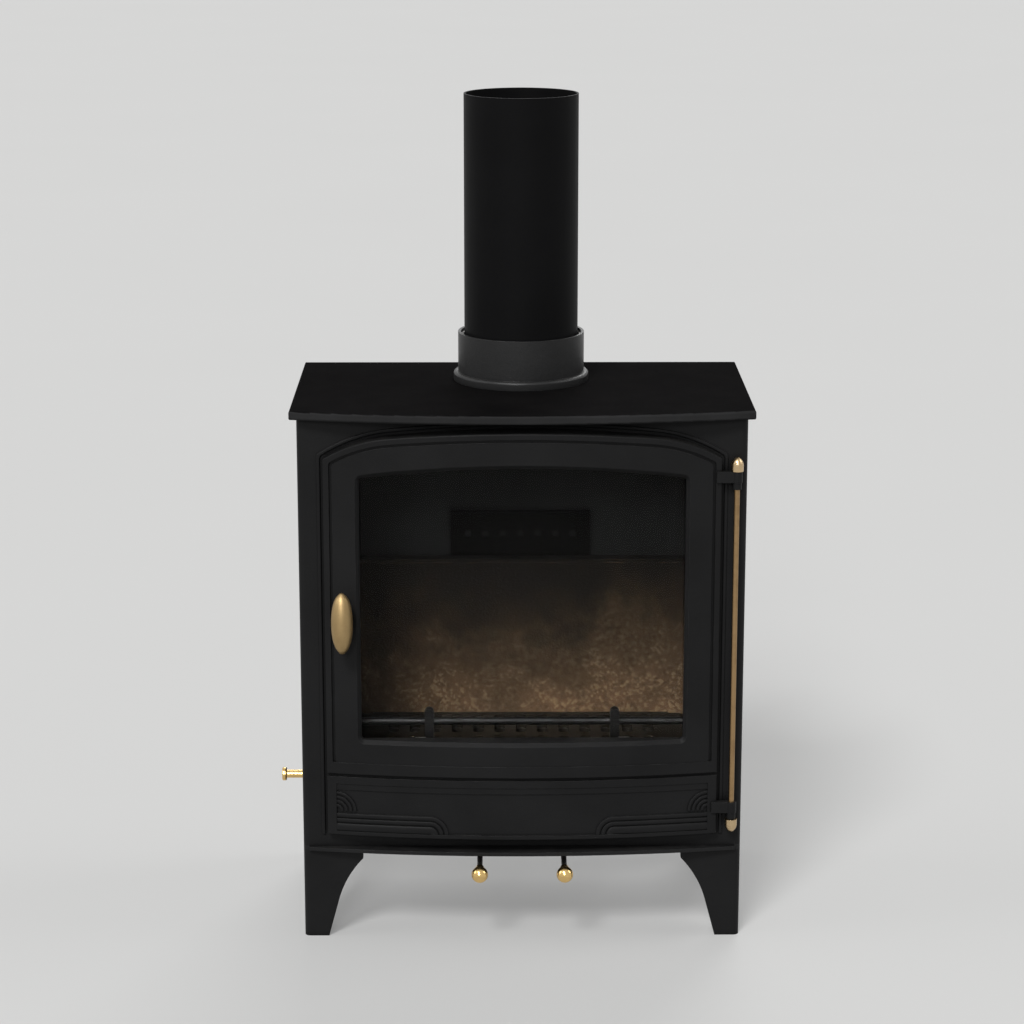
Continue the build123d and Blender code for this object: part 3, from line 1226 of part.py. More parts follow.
# All the pieces, by node
left_leg = leg()
left_post = guard_post()
left_brick = firebrick_side()
PIECES = {
    "base_plate": base_plate(),
    "leg_front_left": left_leg,
    "leg_front_right": mirrored(left_leg),
    "leg_rear_left": to_back(left_leg),
    "leg_rear_right": mirrored(to_back(left_leg)),
    "leg_bolts": leg_bolts(),
    "side_panel_left": side_panel() - rod_hole(),
    "side_panel_right": mirrored(side_panel()),
    "back_panel": back_panel(),
    "back_screws": back_screws(),
    "front_frame": front_frame(),
    "latch_keeper": latch_keeper(),
    "top_plate": top_plate(),
    "top_brackets": top_brackets(),
    "top_bolts": top_bolts(),
    "flue_collar": flue_collar(),
    "collar_bolts": collar_bolts(),
    "flue_pipe": flue_pipe(),
    "flue_seal_rope": flue_seal_rope(),
    "tray_ledges": pair(tray_ledge()),
    "firebed_tray": firebed_tray(),
    "firebrick_rear": firebrick_rear(),
    "firebrick_left": left_brick,
    "firebrick_right": mirrored(left_brick),
    "grate_frame": grate_frame(),
    "riddling_rails": riddling_rails(),
    "riddling_plate": riddling_plate(),
    "riddling_lug": riddling_lug(),
    "riddling_rod": riddling_rod(),
    "riddling_knob": riddling_knob(),
    "guard_post_left": left_post,
    "guard_post_right": mirrored(left_post),
    "guard_bar": guard_bar(),
    "secondary_air_duct": secondary_air_duct(),
    "airwash_deflector": airwash_deflector(),
    "baffle_rests": baffle_rests(),
    "throat_plate": throat_plate(),
    "pan_runners": pan_runners(),
    "ash_pan": ash_pan(),
    "air_guide_bracket": air_guide_bracket(),
    "slide_rails": slide_rails(),
    "primary_air_slide": air_plate(-AIR_X, PRIMARY_SLOT_FRONT, PRIMARY_SLOT_LENGTH),
    "primary_air_rod": air_rod(-AIR_X, PRIMARY_SLOT_FRONT),
    "primary_air_knob": air_knob(-AIR_X),
    "secondary_air_slide": air_plate(AIR_X, SECONDARY_SLOT_FRONT, SECONDARY_SLOT_LENGTH),
    "secondary_air_rod": air_rod(AIR_X, SECONDARY_SLOT_FRONT),
    "secondary_air_knob": air_knob(AIR_X),
    "hinge_pin": hinge_pin(),
    "hinge_finial_top": hinge_finial_top(),
    "hinge_finial_bottom": hinge_finial_bottom(),
    "door_casting": door_casting(),
    "door_glass": door_glass(),
    "glass_gasket": glass_gasket(),
    "glass_clips": glass_clips(),
    "clip_screws": clip_screws(),
    "door_rope_seal": door_rope_seal(),
    "handle_knob": handle_knob(),
    "handle_spindle": handle_spindle(),
    "latch_tongue": latch_tongue(),
    "spindle_nut": spindle_nut(),
}

# The origin is on the floor, at the middle of the stove's outer box
LEFT_END = RIDDLE_END
RIGHT_END = HALF_WIDTH + TOP_SIDE_OVERHANG
FRONT_END = HANDLE_Y - HANDLE_RADIUS
BACK_END = BODY_DEPTH + TOP_BACK_OVERHANG
SHIFT = Pos(-(LEFT_END + RIGHT_END) / 2, -(FRONT_END + BACK_END) / 2, 0)

os.makedirs("parts", exist_ok=True)
for name, piece in PIECES.items():
    placed = SHIFT * piece
    placed.label = name
    export_step(placed, f"parts/{name}.step")
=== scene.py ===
"""A free-standing multi-fuel stove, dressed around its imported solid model.

Lengths in the classes below are millimetres in the stove's own layout: X to the right, Y to the back
from the body's front face, and Z up from the floor. place() turns them into metres in the shared frame.
Lengths in the finishes are metres, as Object coordinates are, and scales of patterns are per metre.
"""

import logging
import math
from abc import ABC, abstractmethod
from dataclasses import dataclass, field
from enum import Enum
from typing import Any, ClassVar, Iterable, Sequence

import bmesh
import bpy
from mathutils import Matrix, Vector


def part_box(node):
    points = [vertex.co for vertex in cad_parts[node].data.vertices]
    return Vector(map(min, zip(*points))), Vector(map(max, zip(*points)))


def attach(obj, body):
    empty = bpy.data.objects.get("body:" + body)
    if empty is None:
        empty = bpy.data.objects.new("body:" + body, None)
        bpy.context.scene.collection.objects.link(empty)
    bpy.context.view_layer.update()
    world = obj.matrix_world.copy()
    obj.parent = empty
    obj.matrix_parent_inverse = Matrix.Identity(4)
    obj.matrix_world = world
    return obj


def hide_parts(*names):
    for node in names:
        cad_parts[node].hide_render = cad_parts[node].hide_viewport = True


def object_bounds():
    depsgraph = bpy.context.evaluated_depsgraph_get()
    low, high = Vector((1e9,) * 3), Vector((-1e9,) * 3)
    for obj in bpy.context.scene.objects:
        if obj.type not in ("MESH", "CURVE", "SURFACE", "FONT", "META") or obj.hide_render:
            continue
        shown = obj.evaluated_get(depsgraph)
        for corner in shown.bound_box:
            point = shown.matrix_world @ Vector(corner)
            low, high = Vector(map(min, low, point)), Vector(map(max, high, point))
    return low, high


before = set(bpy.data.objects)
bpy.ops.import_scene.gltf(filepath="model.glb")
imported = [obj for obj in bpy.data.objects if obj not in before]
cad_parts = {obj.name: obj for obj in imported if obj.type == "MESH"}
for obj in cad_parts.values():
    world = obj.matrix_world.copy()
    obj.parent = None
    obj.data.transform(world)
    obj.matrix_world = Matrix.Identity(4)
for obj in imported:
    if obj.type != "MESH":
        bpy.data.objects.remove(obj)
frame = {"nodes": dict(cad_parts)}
CAD_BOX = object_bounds()

LOG = logging.getLogger("stove")
MM = 0.001
UP = Vector((0, 0, 1))
BACK = Vector((0, 1, 0))

Colour = tuple[float, float, float]
Point = tuple[float, float, float]
Span = tuple[float, float]
Outline = list[tuple[float, float]]
Socket = bpy.types.NodeSocket
Material = bpy.types.Material
Piece = bpy.types.Object


def layout_origin() -> Vector:
    """Finds where the middle of the body's front face meets the floor.

    Returns:
        The point in the shared frame, in metres.
    """
    low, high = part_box("base_plate")
    return Vector(((low.x + high.x) / 2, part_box("leg_front_left")[0].y, 0.0))


ORIGIN = layout_origin()


def place(x: float, y: float, z: float) -> Vector:
    """Turns a point of the stove's layout, in millimetres, into the shared frame, in metres."""
    return ORIGIN + Vector((x, y, z)) * MM


def shade(colour: Colour, share: float) -> Colour:
    """Makes a colour lighter or darker by a share."""
    return tuple(c * share for c in colour)


# Node trees
class Tree:
    """A node tree with short calls that add nodes and join them."""

    def __init__(self, tree: bpy.types.NodeTree) -> None:
        """Takes the tree to write in."""
        self.tree = tree

    def join(self, value: Any, socket: Socket) -> None:
        """Feeds a socket from an output, or sets its plain value.

        Args:
            value: An output, a number, a colour of three numbers, or another plain value.
            socket: The input.
        """
        if isinstance(value, Socket):
            self.tree.links.new(value, socket)
        elif socket.type == "RGBA":
            socket.default_value = (*value, 1.0)
        else:
            socket.default_value = value

    def add(self, kind: str, inputs: dict[Any, Any] | None = None, **settings: Any) -> bpy.types.Node:
        """Adds one node.

        Args:
            kind: The node's type name.
            inputs: Input names or numbers, each with a value or with the output that feeds it.
            settings: The node's own properties.

        Returns:
            The new node.
        """
        node = self.tree.nodes.new(kind)
        for name, value in settings.items():
            setattr(node, name, value)
        for name, value in (inputs or {}).items():
            self.join(value, node.inputs[name])
        return node

    def first(self, kind: str, inputs: dict[Any, Any] | None = None, **settings: Any) -> Socket:
        """Adds one node, as add() does, and returns its first output."""
        return self.add(kind, inputs, **settings).outputs[0]

    def math(self, operation: str, *values: Any, clamp: bool = False) -> Socket:
        """Adds a Math node and returns its value."""
        return self.first("ShaderNodeMath", dict(enumerate(values)), operation=operation, use_clamp=clamp)

    def joined(self, parts: Sequence[Socket]) -> Socket:
        """Joins geometry.

        Args:
            parts: The parts.

        Returns:
            The whole.
        """
        node = self.add("GeometryNodeJoinGeometry")
        for part in parts:
            self.join(part, node.inputs[0])
        return node.outputs[0]

    def times(self, first: Any, second: Any) -> Socket:
        """Multiplies two values."""
        return self.math("MULTIPLY", first, second)

    def vector(self, operation: str, first: Any, second: Any) -> bpy.types.Node:
        """Adds a Vector Math node of two vectors, or of a vector and its scale, and returns it."""
        inputs = {0: first, "Scale" if operation == "SCALE" else 1: second}
        return self.add("ShaderNodeVectorMath", inputs, operation=operation)

    def blend(self, share: Any, first: Any, second: Any) -> Socket:
        """Adds a colour mix and returns its colour."""
        inputs = {"Factor": share, 6: first, 7: second}
        return self.add("ShaderNodeMix", inputs, data_type="RGBA").outputs[2]

    def spread(self, value: Any, source: Span, target: Span = (0.0, 1.0)) -> Socket:
        """Maps a value smoothly from one span to another and returns it."""
        inputs = dict(enumerate((value, *source, *target)))
        return self.first("ShaderNodeMapRange", inputs, interpolation_type="SMOOTHSTEP")

    def noise(self, where: Any, scale: Any, detail: float = 3.0, roughness: float = 0.55) -> Socket:
        """Adds a noise and returns its value."""
        inputs = {"Vector": where, "Scale": scale, "Detail": detail, "Roughness": roughness}
        return self.add("ShaderNodeTexNoise", inputs).outputs["Fac"]

    def stretched(self, where: Any, scale: Point) -> Socket:
        """Scales coordinates and returns them."""
        return self.first("ShaderNodeMapping", {"Vector": where, "Scale": scale})

    def where(self) -> Socket:
        """Returns the Object coordinates."""
        return self.add("ShaderNodeTexCoord").outputs["Object"]

    def facing_up(self, slope: Span) -> Socket:
        """Returns a mask of the faces that look up, which rises over a span of the normal's Z."""
        normal = self.add("ShaderNodeNewGeometry").outputs["Normal"]
        return self.spread(self.add("ShaderNodeSeparateXYZ", {0: normal}).outputs[2], slope)

    def seen(self) -> Socket:
        """Tells the rays of the eye, of metal and of glass from those that light the object.

        Returns:
            1 to the camera, glossy and transmission rays, and 0 to the others.
        """
        rays = self.add("ShaderNodeLightPath").outputs
        direct = self.math("MAXIMUM", rays["Is Camera Ray"], rays["Is Glossy Ray"])
        return self.math("MAXIMUM", direct, rays["Is Transmission Ray"])

    def ring(self, sides: Any, radius: Any) -> Socket:
        """Adds a circle's curve and returns it."""
        inputs = {"Resolution": sides, "Radius": radius}
        return self.first("GeometryNodeCurvePrimitiveCircle", inputs, mode="RADIUS")


class Group(Tree):
    """A shader node group in the making."""

    def __init__(self, name: str, **inputs: float) -> None:
        """Starts the group.

        Args:
            name: The group's name.
            inputs: Each input's name, with underscores for spaces, and its first value.
        """
        super().__init__(bpy.data.node_groups.new(name, "ShaderNodeTree"))
        for label, value in inputs.items():
            socket = self.tree.interface.new_socket(label.replace("_", " "), in_out="INPUT",
                                                    socket_type="NodeSocketFloat")
            socket.default_value = value
        self.given = self.add("NodeGroupInput").outputs

    def give(self, **outputs: Socket) -> bpy.types.NodeTree:
        """Ends the group.

        Args:
            outputs: Each output's name and the number or the normal that it puts out.

        Returns:
            The finished group.
        """
        for label, value in outputs.items():
            kind = "NodeSocketVector" if value.type == "VECTOR" else "NodeSocketFloat"
            self.tree.interface.new_socket(label, in_out="OUTPUT", socket_type=kind)
        self.add("NodeGroupOutput", outputs)
        return self.tree


class Effects:
    """The shader node groups that several finishes share.

    Each span holds the two values between which a mask rises from nothing to full.
    """

    # The span of ambient occlusion over which painted shade rises in creases and under overhangs.
    open_sky: Span = (0.92, 0.35)
    edge_turn: Span = (0.995, 0.86)
    wear_patches: Span = (0.42, 0.66)
    clouds: Span = (0.3, 0.7)
    smoke_rise: Span = (-0.10, 0.12)
    dust_slope: Span = (0.55, 1.0)
    dust_patches: Span = (0.35, 0.75)
    soot_skin: float = 0.4 * MM
    smoke_wander: float = 0.16
    coarser: float = 0.22
    coarse_share: float = 0.8

    def __init__(self) -> None:
        """Builds each group once."""
        self.edges = self.build_edges()
        self.grain = self.build_grain()
        self.soot = self.build_soot()
        self.dust = self.build_dust()

    def build_edges(self) -> bpy.types.NodeTree:
        """Builds the group that rounds hard edges, finds the lightened edges (part wear, part painted
        highlight), and finds the creases and overhangs for painted shade.

        Returns:
            The group, with the outputs Wear, Crease and Normal.
        """
        g = Group("Worn edges, painted highlight and painted shade", Radius=0.8 * MM, Patchiness=60.0, Crease_reach=9.0 * MM)
        # Painted shade: ambient occlusion darkens the colour in creases and in the spaces under overhangs.
        sky = g.add("ShaderNodeAmbientOcclusion", {"Distance": g.given["Crease reach"]}, samples=6)
        painted_crease_shade = g.spread(sky.outputs["AO"], self.open_sky)
        rounded = g.first("ShaderNodeBevel", {"Radius": g.given["Radius"]}, samples=4)
        flat = g.add("ShaderNodeNewGeometry").outputs["Normal"]
        turned = g.spread(g.vector("DOT_PRODUCT", rounded, flat).outputs["Value"], self.edge_turn)
        patches = g.spread(g.noise(g.where(), g.given["Patchiness"], 4.0, 0.65), self.wear_patches)
        # Lightened edges, part wear and part painted highlight: convex edges only, not the creases.
        wear_and_highlight = g.times(g.times(turned, patches), g.math("SUBTRACT", 1.0, painted_crease_shade, clamp=True))
        return g.give(Wear=wear_and_highlight, Crease=painted_crease_shade, Normal=rounded)

    def build_grain(self) -> bpy.types.NodeTree:
        """Builds the group for the fine tooth of cast iron under paint.

        Returns:
            The group, with the outputs Height and Cloud.
        """
        g = Group("Cast grain", Scale=900.0, Cloud_scale=9.0)
        where = g.where()
        fine = g.noise(where, g.given["Scale"], 2.0, 0.5)
        coarse = g.noise(where, g.times(g.given["Scale"], self.coarser), 2.0, 0.5)
        cloud = g.spread(g.noise(where, g.given["Cloud scale"], 5.0, 0.6), self.clouds)
        return g.give(Height=g.math("MULTIPLY_ADD", coarse, self.coarse_share, fine), Cloud=cloud)

    def build_soot(self) -> bpy.types.NodeTree:
        """Builds the group that finds the sooted inside of the firebox.

        Returns:
            The group, with the outputs Soot and Smoke, which is how far up the fire's smoke has reached.
        """
        g = Group("Soot", Softness=4.0 * MM, Brick_line=0.33)
        where = g.where()
        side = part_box("side_panel_left")
        low = (side[1].x, side[0].y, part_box("base_plate")[1].z)
        high = (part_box("side_panel_right")[0].x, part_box("back_panel")[0].y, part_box("top_plate")[0].z)
        parts = g.add("ShaderNodeSeparateXYZ", {0: where}).outputs
        inside: Any = 1.0
        for part, start, end in zip(parts, low, high):
            away = g.math("ABSOLUTE", g.math("SUBTRACT", part, (start + end) / 2))
            depth = g.math("SUBTRACT", (end - start) / 2 + self.soot_skin, away)
            inside = g.times(inside, g.math("DIVIDE", depth, g.given["Softness"], clamp=True))
        climb = g.math("MULTIPLY_ADD", g.noise(where, 14.0, 5.0, 0.6), self.smoke_wander, parts[2])
        smoke = g.spread(g.math("SUBTRACT", climb, g.given["Brick line"]), self.smoke_rise)
        return g.give(Soot=inside, Smoke=smoke)

    def build_dust(self) -> bpy.types.NodeTree:
        """Builds the group for the thin dust on faces that look up.

        Returns:
            The group, with the output Dust.
        """
        g = Group("Dust", Amount=0.5)
        patches = g.spread(g.noise(g.where(), 22.0, 6.0, 0.7), self.dust_patches)
        return g.give(Dust=g.times(g.times(g.facing_up(self.dust_slope), patches), g.given["Amount"]))


EFFECTS = Effects()


class Surface(Tree):
    """A material's tree, with its Principled shader ready."""

    def __init__(self, name: str) -> None:
        """Starts the material.

        Args:
            name: The material's name.
        """
        self.material = bpy.data.materials.new(name)
        self.material.use_nodes = True
        super().__init__(self.material.node_tree)
        self.shader = self.tree.nodes["Principled BSDF"]
        self.output = self.tree.nodes["Material Output"]

    def group(self, effect: bpy.types.NodeTree, **values: float) -> Any:
        """Places a shared effect.

        Args:
            effect: The effect's group.
            values: Its own values, with underscores for spaces in their names.

        Returns:
            The effect's outputs.
        """
        node = self.add("ShaderNodeGroup", node_tree=effect)
        for label, value in values.items():
            node.inputs[label.replace("_", " ")].default_value = value
        return node.outputs

    def feed(self, **sockets: Any) -> None:
        """Sets or joins inputs of the Principled shader.

        Args:
            sockets: Input names with underscores for spaces, each with a value or an output.
        """
        for label, value in sockets.items():
            self.join(value, self.shader.inputs[label.replace("_", " ")])

    def bump(self, height: Any, distance: float, normal: Any = None) -> Socket:
        """Adds a bump.

        Args:
            height: The pattern that it is raised by.
            distance: How far the pattern stands out, in metres.
            normal: The normal under it, if that isn't the face's own.

        Returns:
            The bumped normal.
        """
        inputs = {"Height": height, "Distance": distance, "Strength": 1.0}
        if normal is not None:
            inputs["Normal"] = normal
        return self.first("ShaderNodeBump", inputs)


# Finishes
@dataclass(frozen=True)
class StovePaint:
    """Matt heat-proof paint on cast iron or steel plate, sooted inside the firebox. It holds painted shade
    in creases and under overhangs, edges lightened partly by wear and partly by a painted highlight, and,
    where given, a painted darker top.
    """

    name: str
    colour: Colour = (0.0068, 0.0068, 0.0070)
    # The colour of lightened edges, part wear and part painted highlight.
    worn_and_highlit: Colour = (0.060, 0.060, 0.061)
    # A painted darker colour for faces that look up, which stands for shade, and the slope over which it
    # takes over.
    painted_dark_top: Colour | None = None
    painted_dark_top_slope: Span = (0.6, 0.95)
    roughness: float = 0.50
    gloss: float = 0.12
    grain_scale: float = 900.0
    grain_depth: float = 0.16 * MM
    edge_radius: float = 0.6 * MM
    # How far the edges are lightened, part wear and part painted highlight.
    wear_and_highlight: float = 0.60
    # Painted shade in creases and under overhangs: its share, and how dark it is.
    painted_crease_shade: float = 0.8
    crease_shade: float = 0.2
    dust: float = 0.35
    dust_share: float = 0.35
    dust_colour: Colour = (0.10, 0.095, 0.088)
    low_soot: Colour = (0.016, 0.0125, 0.0095)
    high_soot: Colour = (0.0022, 0.0020, 0.0018)

    def make(self) -> Material:
        """Builds the material.

        Returns:
            The material.
        """
        s = Surface(self.name)
        grain = s.group(EFFECTS.grain, Scale=self.grain_scale)
        edges = s.group(EFFECTS.edges, Radius=self.edge_radius)
        soot = s.group(EFFECTS.soot)
        dust = s.group(EFFECTS.dust, Amount=self.dust)
        paint = s.blend(grain["Cloud"], self.colour, shade(self.colour, 1.35))
        # Painted shade: faces that look up take the darker top colour.
        if self.painted_dark_top:
            shaded_top = s.blend(grain["Cloud"], self.painted_dark_top, shade(self.painted_dark_top, 1.5))
            paint = s.blend(s.facing_up(self.painted_dark_top_slope), paint, shaded_top)
        # Painted shade: creases and the spaces under overhangs are darkened in the colour.
        paint = s.blend(s.times(edges["Crease"], self.painted_crease_shade), paint, shade(self.colour, self.crease_shade))
        # Lighter edges: part wear, part painted highlight.
        paint = s.blend(s.times(edges["Wear"], self.wear_and_highlight), paint, self.worn_and_highlit)
        paint = s.blend(s.times(dust["Dust"], self.dust_share), paint, self.dust_colour)
        paint = s.blend(soot["Soot"], paint, s.blend(soot["Smoke"], self.low_soot, self.high_soot))
        rough = s.math("MULTIPLY_ADD", grain["Cloud"], 0.10, self.roughness - 0.05)
        rough = s.math("MULTIPLY_ADD", soot["Soot"], 0.3, rough, clamp=True)
        s.feed(Base_Color=paint, Roughness=rough, Specular_IOR_Level=self.gloss,
               Normal=s.bump(grain["Height"], self.grain_depth, edges["Normal"]))
        return s.material


@dataclass(frozen=True)
class PipePaint:
    """Satin black paint on a rolled flue pipe, with faint marks along its length and edges lightened partly
    by wear and partly by a painted highlight.
    """

    name: str
    colour: Colour = (0.0034, 0.0034, 0.0036)
    worn_and_highlit: Colour = (0.05, 0.05, 0.052)
    roughness: float = 0.52
    gloss: float = 0.05
    streak: Point = (140.0, 140.0, 4.0)
    grain_depth: float = 0.06 * MM
    edge_radius: float = 0.5 * MM

    def make(self) -> Material:
        """Builds the material.

        Returns:
            The material.
        """
        s = Surface(self.name)
        streaks = s.noise(s.stretched(s.where(), self.streak), 1.0, 4.0, 0.6)
        grain = s.group(EFFECTS.grain, Scale=1400.0, Cloud_scale=6.0)
        edges = s.group(EFFECTS.edges, Radius=self.edge_radius)
        paint = s.blend(grain["Cloud"], self.colour, shade(self.colour, 1.4))
        # Lighter edges: part wear, part painted highlight.
        paint = s.blend(s.times(edges["Wear"], 0.4), paint, self.worn_and_highlit)
        rough = s.math("MULTIPLY_ADD", streaks, 0.16, self.roughness - 0.08)
        s.feed(Base_Color=paint, Roughness=rough, Specular_IOR_Level=self.gloss,
               Normal=s.bump(grain["Height"], self.grain_depth, edges["Normal"]))
        return s.material


class Turning(Enum):
    """Which way a turned or drawn metal piece's fine lines run round, as the scale of its lines."""

    NONE = (1500.0, 1500.0, 1500.0)
    ABOUT_X = (2600.0, 12.0, 12.0)
    ABOUT_Z = (12.0, 12.0, 2600.0)


@dataclass(frozen=True)
class Metal:
    """Bare metal: its colour, its shine, the fine lines of its turning, and its tarnish."""

    name: str
    colour: Colour
    tarnish: Colour
    roughness: float
    turning: Turning = Turning.NONE
    line_depth: float = 0.02 * MM
    tarnish_share: float = 0.35
    speck_share: float = 0.3
    edge_radius: float = 0.3 * MM

    def make(self) -> Material:
        """Builds the material.

        Returns:
            The material.
        """
        s = Surface(self.name)
        where = s.where()
        cloud = s.spread(s.noise(where, 70.0, 6.0, 0.65), (0.40, 0.75))
        specks = s.spread(s.noise(where, 420.0, 3.0, 0.6), (0.62, 0.74))
        stain = s.math("MAXIMUM", s.times(cloud, self.tarnish_share), s.times(specks, self.speck_share))
        lines = s.noise(s.stretched(where, self.turning.value), 1.0, 2.0)
        edges = s.group(EFFECTS.edges, Radius=self.edge_radius)
        rough = s.math("MULTIPLY_ADD", stain, 0.25, self.roughness)
        rough = s.math("MULTIPLY_ADD", lines, 0.08, rough)
        s.feed(Base_Color=s.blend(stain, self.colour, self.tarnish), Metallic=1.0, Roughness=rough,
               Normal=s.bump(lines, self.line_depth, edges["Normal"]))
        return s.material


@dataclass(frozen=True)
class Firebrick:
    """A vermiculite firebrick: pale flakes in tan board, browned low down and black higher up."""

    name: str
    board: Colour = (0.200, 0.115, 0.060)
    flake: Colour = (0.36, 0.25, 0.14)
    scorched: Colour = (0.028, 0.0155, 0.0088)
    smoked: Colour = (0.0070, 0.0050, 0.0038)
    flake_scale: float = 320.0
    grime_least: float = 0.52
    grime_range: float = 0.35
    pit_depth: float = 0.22 * MM

    def make(self) -> Material:
        """Builds the material.

        Returns:
            The material.
        """
        s = Surface(self.name)
        where = s.where()
        flakes = s.add("ShaderNodeTexVoronoi", {"Vector": where, "Scale": self.flake_scale}).outputs
        tone = s.first("ShaderNodeSeparateColor", {0: flakes["Color"]})
        board = s.blend(s.spread(tone, (0.55, 0.95)), self.board, self.flake)
        dark = s.spread(s.noise(where, 160.0, 4.0, 0.7), (0.5, 0.72))
        board = s.blend(s.times(dark, 0.6), board, self.scorched)
        grime = s.spread(s.noise(where, 16.0, 6.0, 0.65), (0.3, 0.7))
        grime = s.math("MULTIPLY_ADD", grime, self.grime_range, self.grime_least)
        board = s.blend(grime, board, self.scorched)
        board = s.blend(s.group(EFFECTS.soot)["Smoke"], board, self.smoked)
        edges = s.group(EFFECTS.edges, Radius=1.2 * MM, Patchiness=90.0)
        board = s.blend(s.times(edges["Wear"], 0.5), board, self.flake)
        pits = s.math("MULTIPLY_ADD", flakes["Distance"], 0.6, s.noise(where, 500.0, 4.0))
        s.feed(Base_Color=board, Roughness=0.92, Specular_IOR_Level=0.15,
               Normal=s.bump(pits, self.pit_depth, edges["Normal"]))
        return s.material


@dataclass(frozen=True)
class GlassFibre:
    """Woven glass fibre, as rope or as tape, greyed by smoke."""

    name: str
    colour: Colour = (0.115, 0.112, 0.105)
    thread: float = 900.0
    thread_depth: float = 0.25 * MM
    smoke_share: float = 0.6

    def make(self) -> Material:
        """Builds the material.

        Returns:
            The material.
        """
        s = Surface(self.name)
        where = s.where()
        waves = {"Vector": where, "Scale": self.thread, "Distortion": 1.5, "Detail": 2.0}
        strands = s.add("ShaderNodeTexWave", waves, bands_direction="DIAGONAL").outputs["Fac"]
        height = s.math("MULTIPLY_ADD", s.noise(where, 1600.0, 3.0), 0.5, strands)
        smoke = s.spread(s.noise(where, 30.0, 5.0, 0.65), (0.35, 0.7))
        colour = s.blend(strands, self.colour, shade(self.colour, 2.1))
        colour = s.blend(s.times(smoke, self.smoke_share), colour, shade(self.colour, 0.3))
        s.feed(Base_Color=colour, Roughness=0.88, Sheen_Weight=0.25, Sheen_Roughness=0.4,
               Normal=s.bump(height, self.thread_depth))
        return s.material


@dataclass(frozen=True)
class HeatGlass:
    """Clear ceramic glass with a faint haze. Lamps shine through it."""

    name: str
    tint: Colour = (0.93, 0.94, 0.92)
    index: float = 1.12
    haze: float = 0.05

    def make(self) -> Material:
        """Builds the material.

        Returns:
            The material.
        """
        s = Surface(self.name)
        haze = s.spread(s.noise(s.where(), 10.0, 5.0, 0.6), (0.45, 0.85), (0.0, self.haze))
        s.feed(Base_Color=self.tint, Roughness=haze, Metallic=0.0, Transmission_Weight=1.0, IOR=self.index)
        clear = s.first("ShaderNodeBsdfTransparent", {"Color": self.tint})
        lamps = s.add("ShaderNodeLightPath").outputs["Is Shadow Ray"]
        mixed = s.first("ShaderNodeMixShader", {0: lamps, 1: s.shader.outputs[0], 2: clear})
        s.join(mixed, s.output.inputs["Surface"])
        return s.material


@dataclass(frozen=True)
class StudioGround:
    """The plain pale floor, part of whose paleness is there only for the eye, metal and glass."""

    name: str = "studio_floor"
    colour: Colour = (0.36, 0.36, 0.356)
    glow: Colour = (1.0, 1.0, 0.995)
    paleness: float = 0.226

    def make(self) -> Material:
        """Builds the material.

        Returns:
            The material.
        """
        s = Surface(self.name)
        cloud = s.noise(s.where(), 1.2, 3.0)
        s.feed(Base_Color=s.blend(cloud, self.colour, shade(self.colour, 0.97)), Roughness=0.9,
               Specular_IOR_Level=0.0, Emission_Color=self.glow,
               Emission_Strength=s.times(s.seen(), self.paleness))
        return s.material


class Finishes:
    """Every finish of the stove, each made once."""

    def __init__(self) -> None:
        """Makes the materials."""
        rolled = {"grain_scale": 1500.0, "grain_depth": 0.09 * MM}
        self.casting = StovePaint("paint_on_casting").make()
        self.plate = StovePaint("paint_on_plate", roughness=0.52, gloss=0.18, **rolled).make()
        # Painted light: a lighter copy of the stove paint, so that the back panel, which gets little lamp
        # light, reads grey rather than black.
        self.back = StovePaint("paint_on_back_painted_lighter", (0.0125, 0.0125, 0.0128), roughness=0.7, gloss=0.03,
                               **rolled).make()
        # Painted light and shade: this plate's own colour is a lighter copy of the stove paint, a painted
        # highlight on its front edge, and its faces that look up take the painted darker top.
        self.top = StovePaint("paint_on_top_plate", (0.0200, 0.0200, 0.0203), painted_dark_top=(0.0036, 0.0034, 0.0035),
                              roughness=0.8, gloss=0.002, dust=0.04, edge_radius=1.2 * MM).make()
        self.sooted = StovePaint("sooted_plate", (0.0050, 0.0046, 0.0043), roughness=0.9, gloss=0.02).make()
        self.collar = StovePaint("satin_paint_on_collar", (0.0120, 0.0120, 0.0122), roughness=0.40,
                                 gloss=0.28).make()
        self.pipe = PipePaint("paint_on_pipe").make()
        self.brass = Metal("polished_brass", (0.83, 0.57, 0.23), (0.42, 0.26, 0.09), 0.13).make()
        self.olive = Metal("turned_pale_brass", (0.385, 0.272, 0.132), (0.20, 0.135, 0.063), 0.44,
                           Turning.ABOUT_Z, 0.03 * MM, 0.25).make()
        self.rod = Metal("drawn_brass", (0.37, 0.24, 0.118), (0.17, 0.105, 0.05), 0.26, Turning.ABOUT_Z,
                         tarnish_share=0.6).make()
        self.aged = Metal("aged_brass", (0.62, 0.46, 0.27), (0.36, 0.25, 0.13), 0.20).make()
        self.steel = Metal("heat_dulled_steel", (0.21, 0.20, 0.195), (0.07, 0.055, 0.045), 0.42,
                           tarnish_share=0.8).make()
        self.guard = Metal("fire_blued_steel", (0.019, 0.0185, 0.0195), (0.007, 0.0064, 0.006), 0.38,
                           Turning.ABOUT_X, tarnish_share=0.7).make()
        self.brick = Firebrick("vermiculite_brick").make()
        self.rope = GlassFibre("woven_rope").make()
        self.tape = GlassFibre("woven_tape", (0.30, 0.29, 0.27), 1400.0).make()
        self.glass = HeatGlass("ceramic_glass").make()


def dress(material: Material, *nodes: str) -> None:
    """Gives CAD nodes a finish in place of their plain one.

    Args:
        material: The finish's material.
        nodes: The nodes' names.
    """
    for name in nodes:
        mesh = frame["nodes"][name].data
        mesh.materials.clear()
        mesh.materials.append(material)
    LOG.info("%s on %s", material.name, ", ".join(nodes))


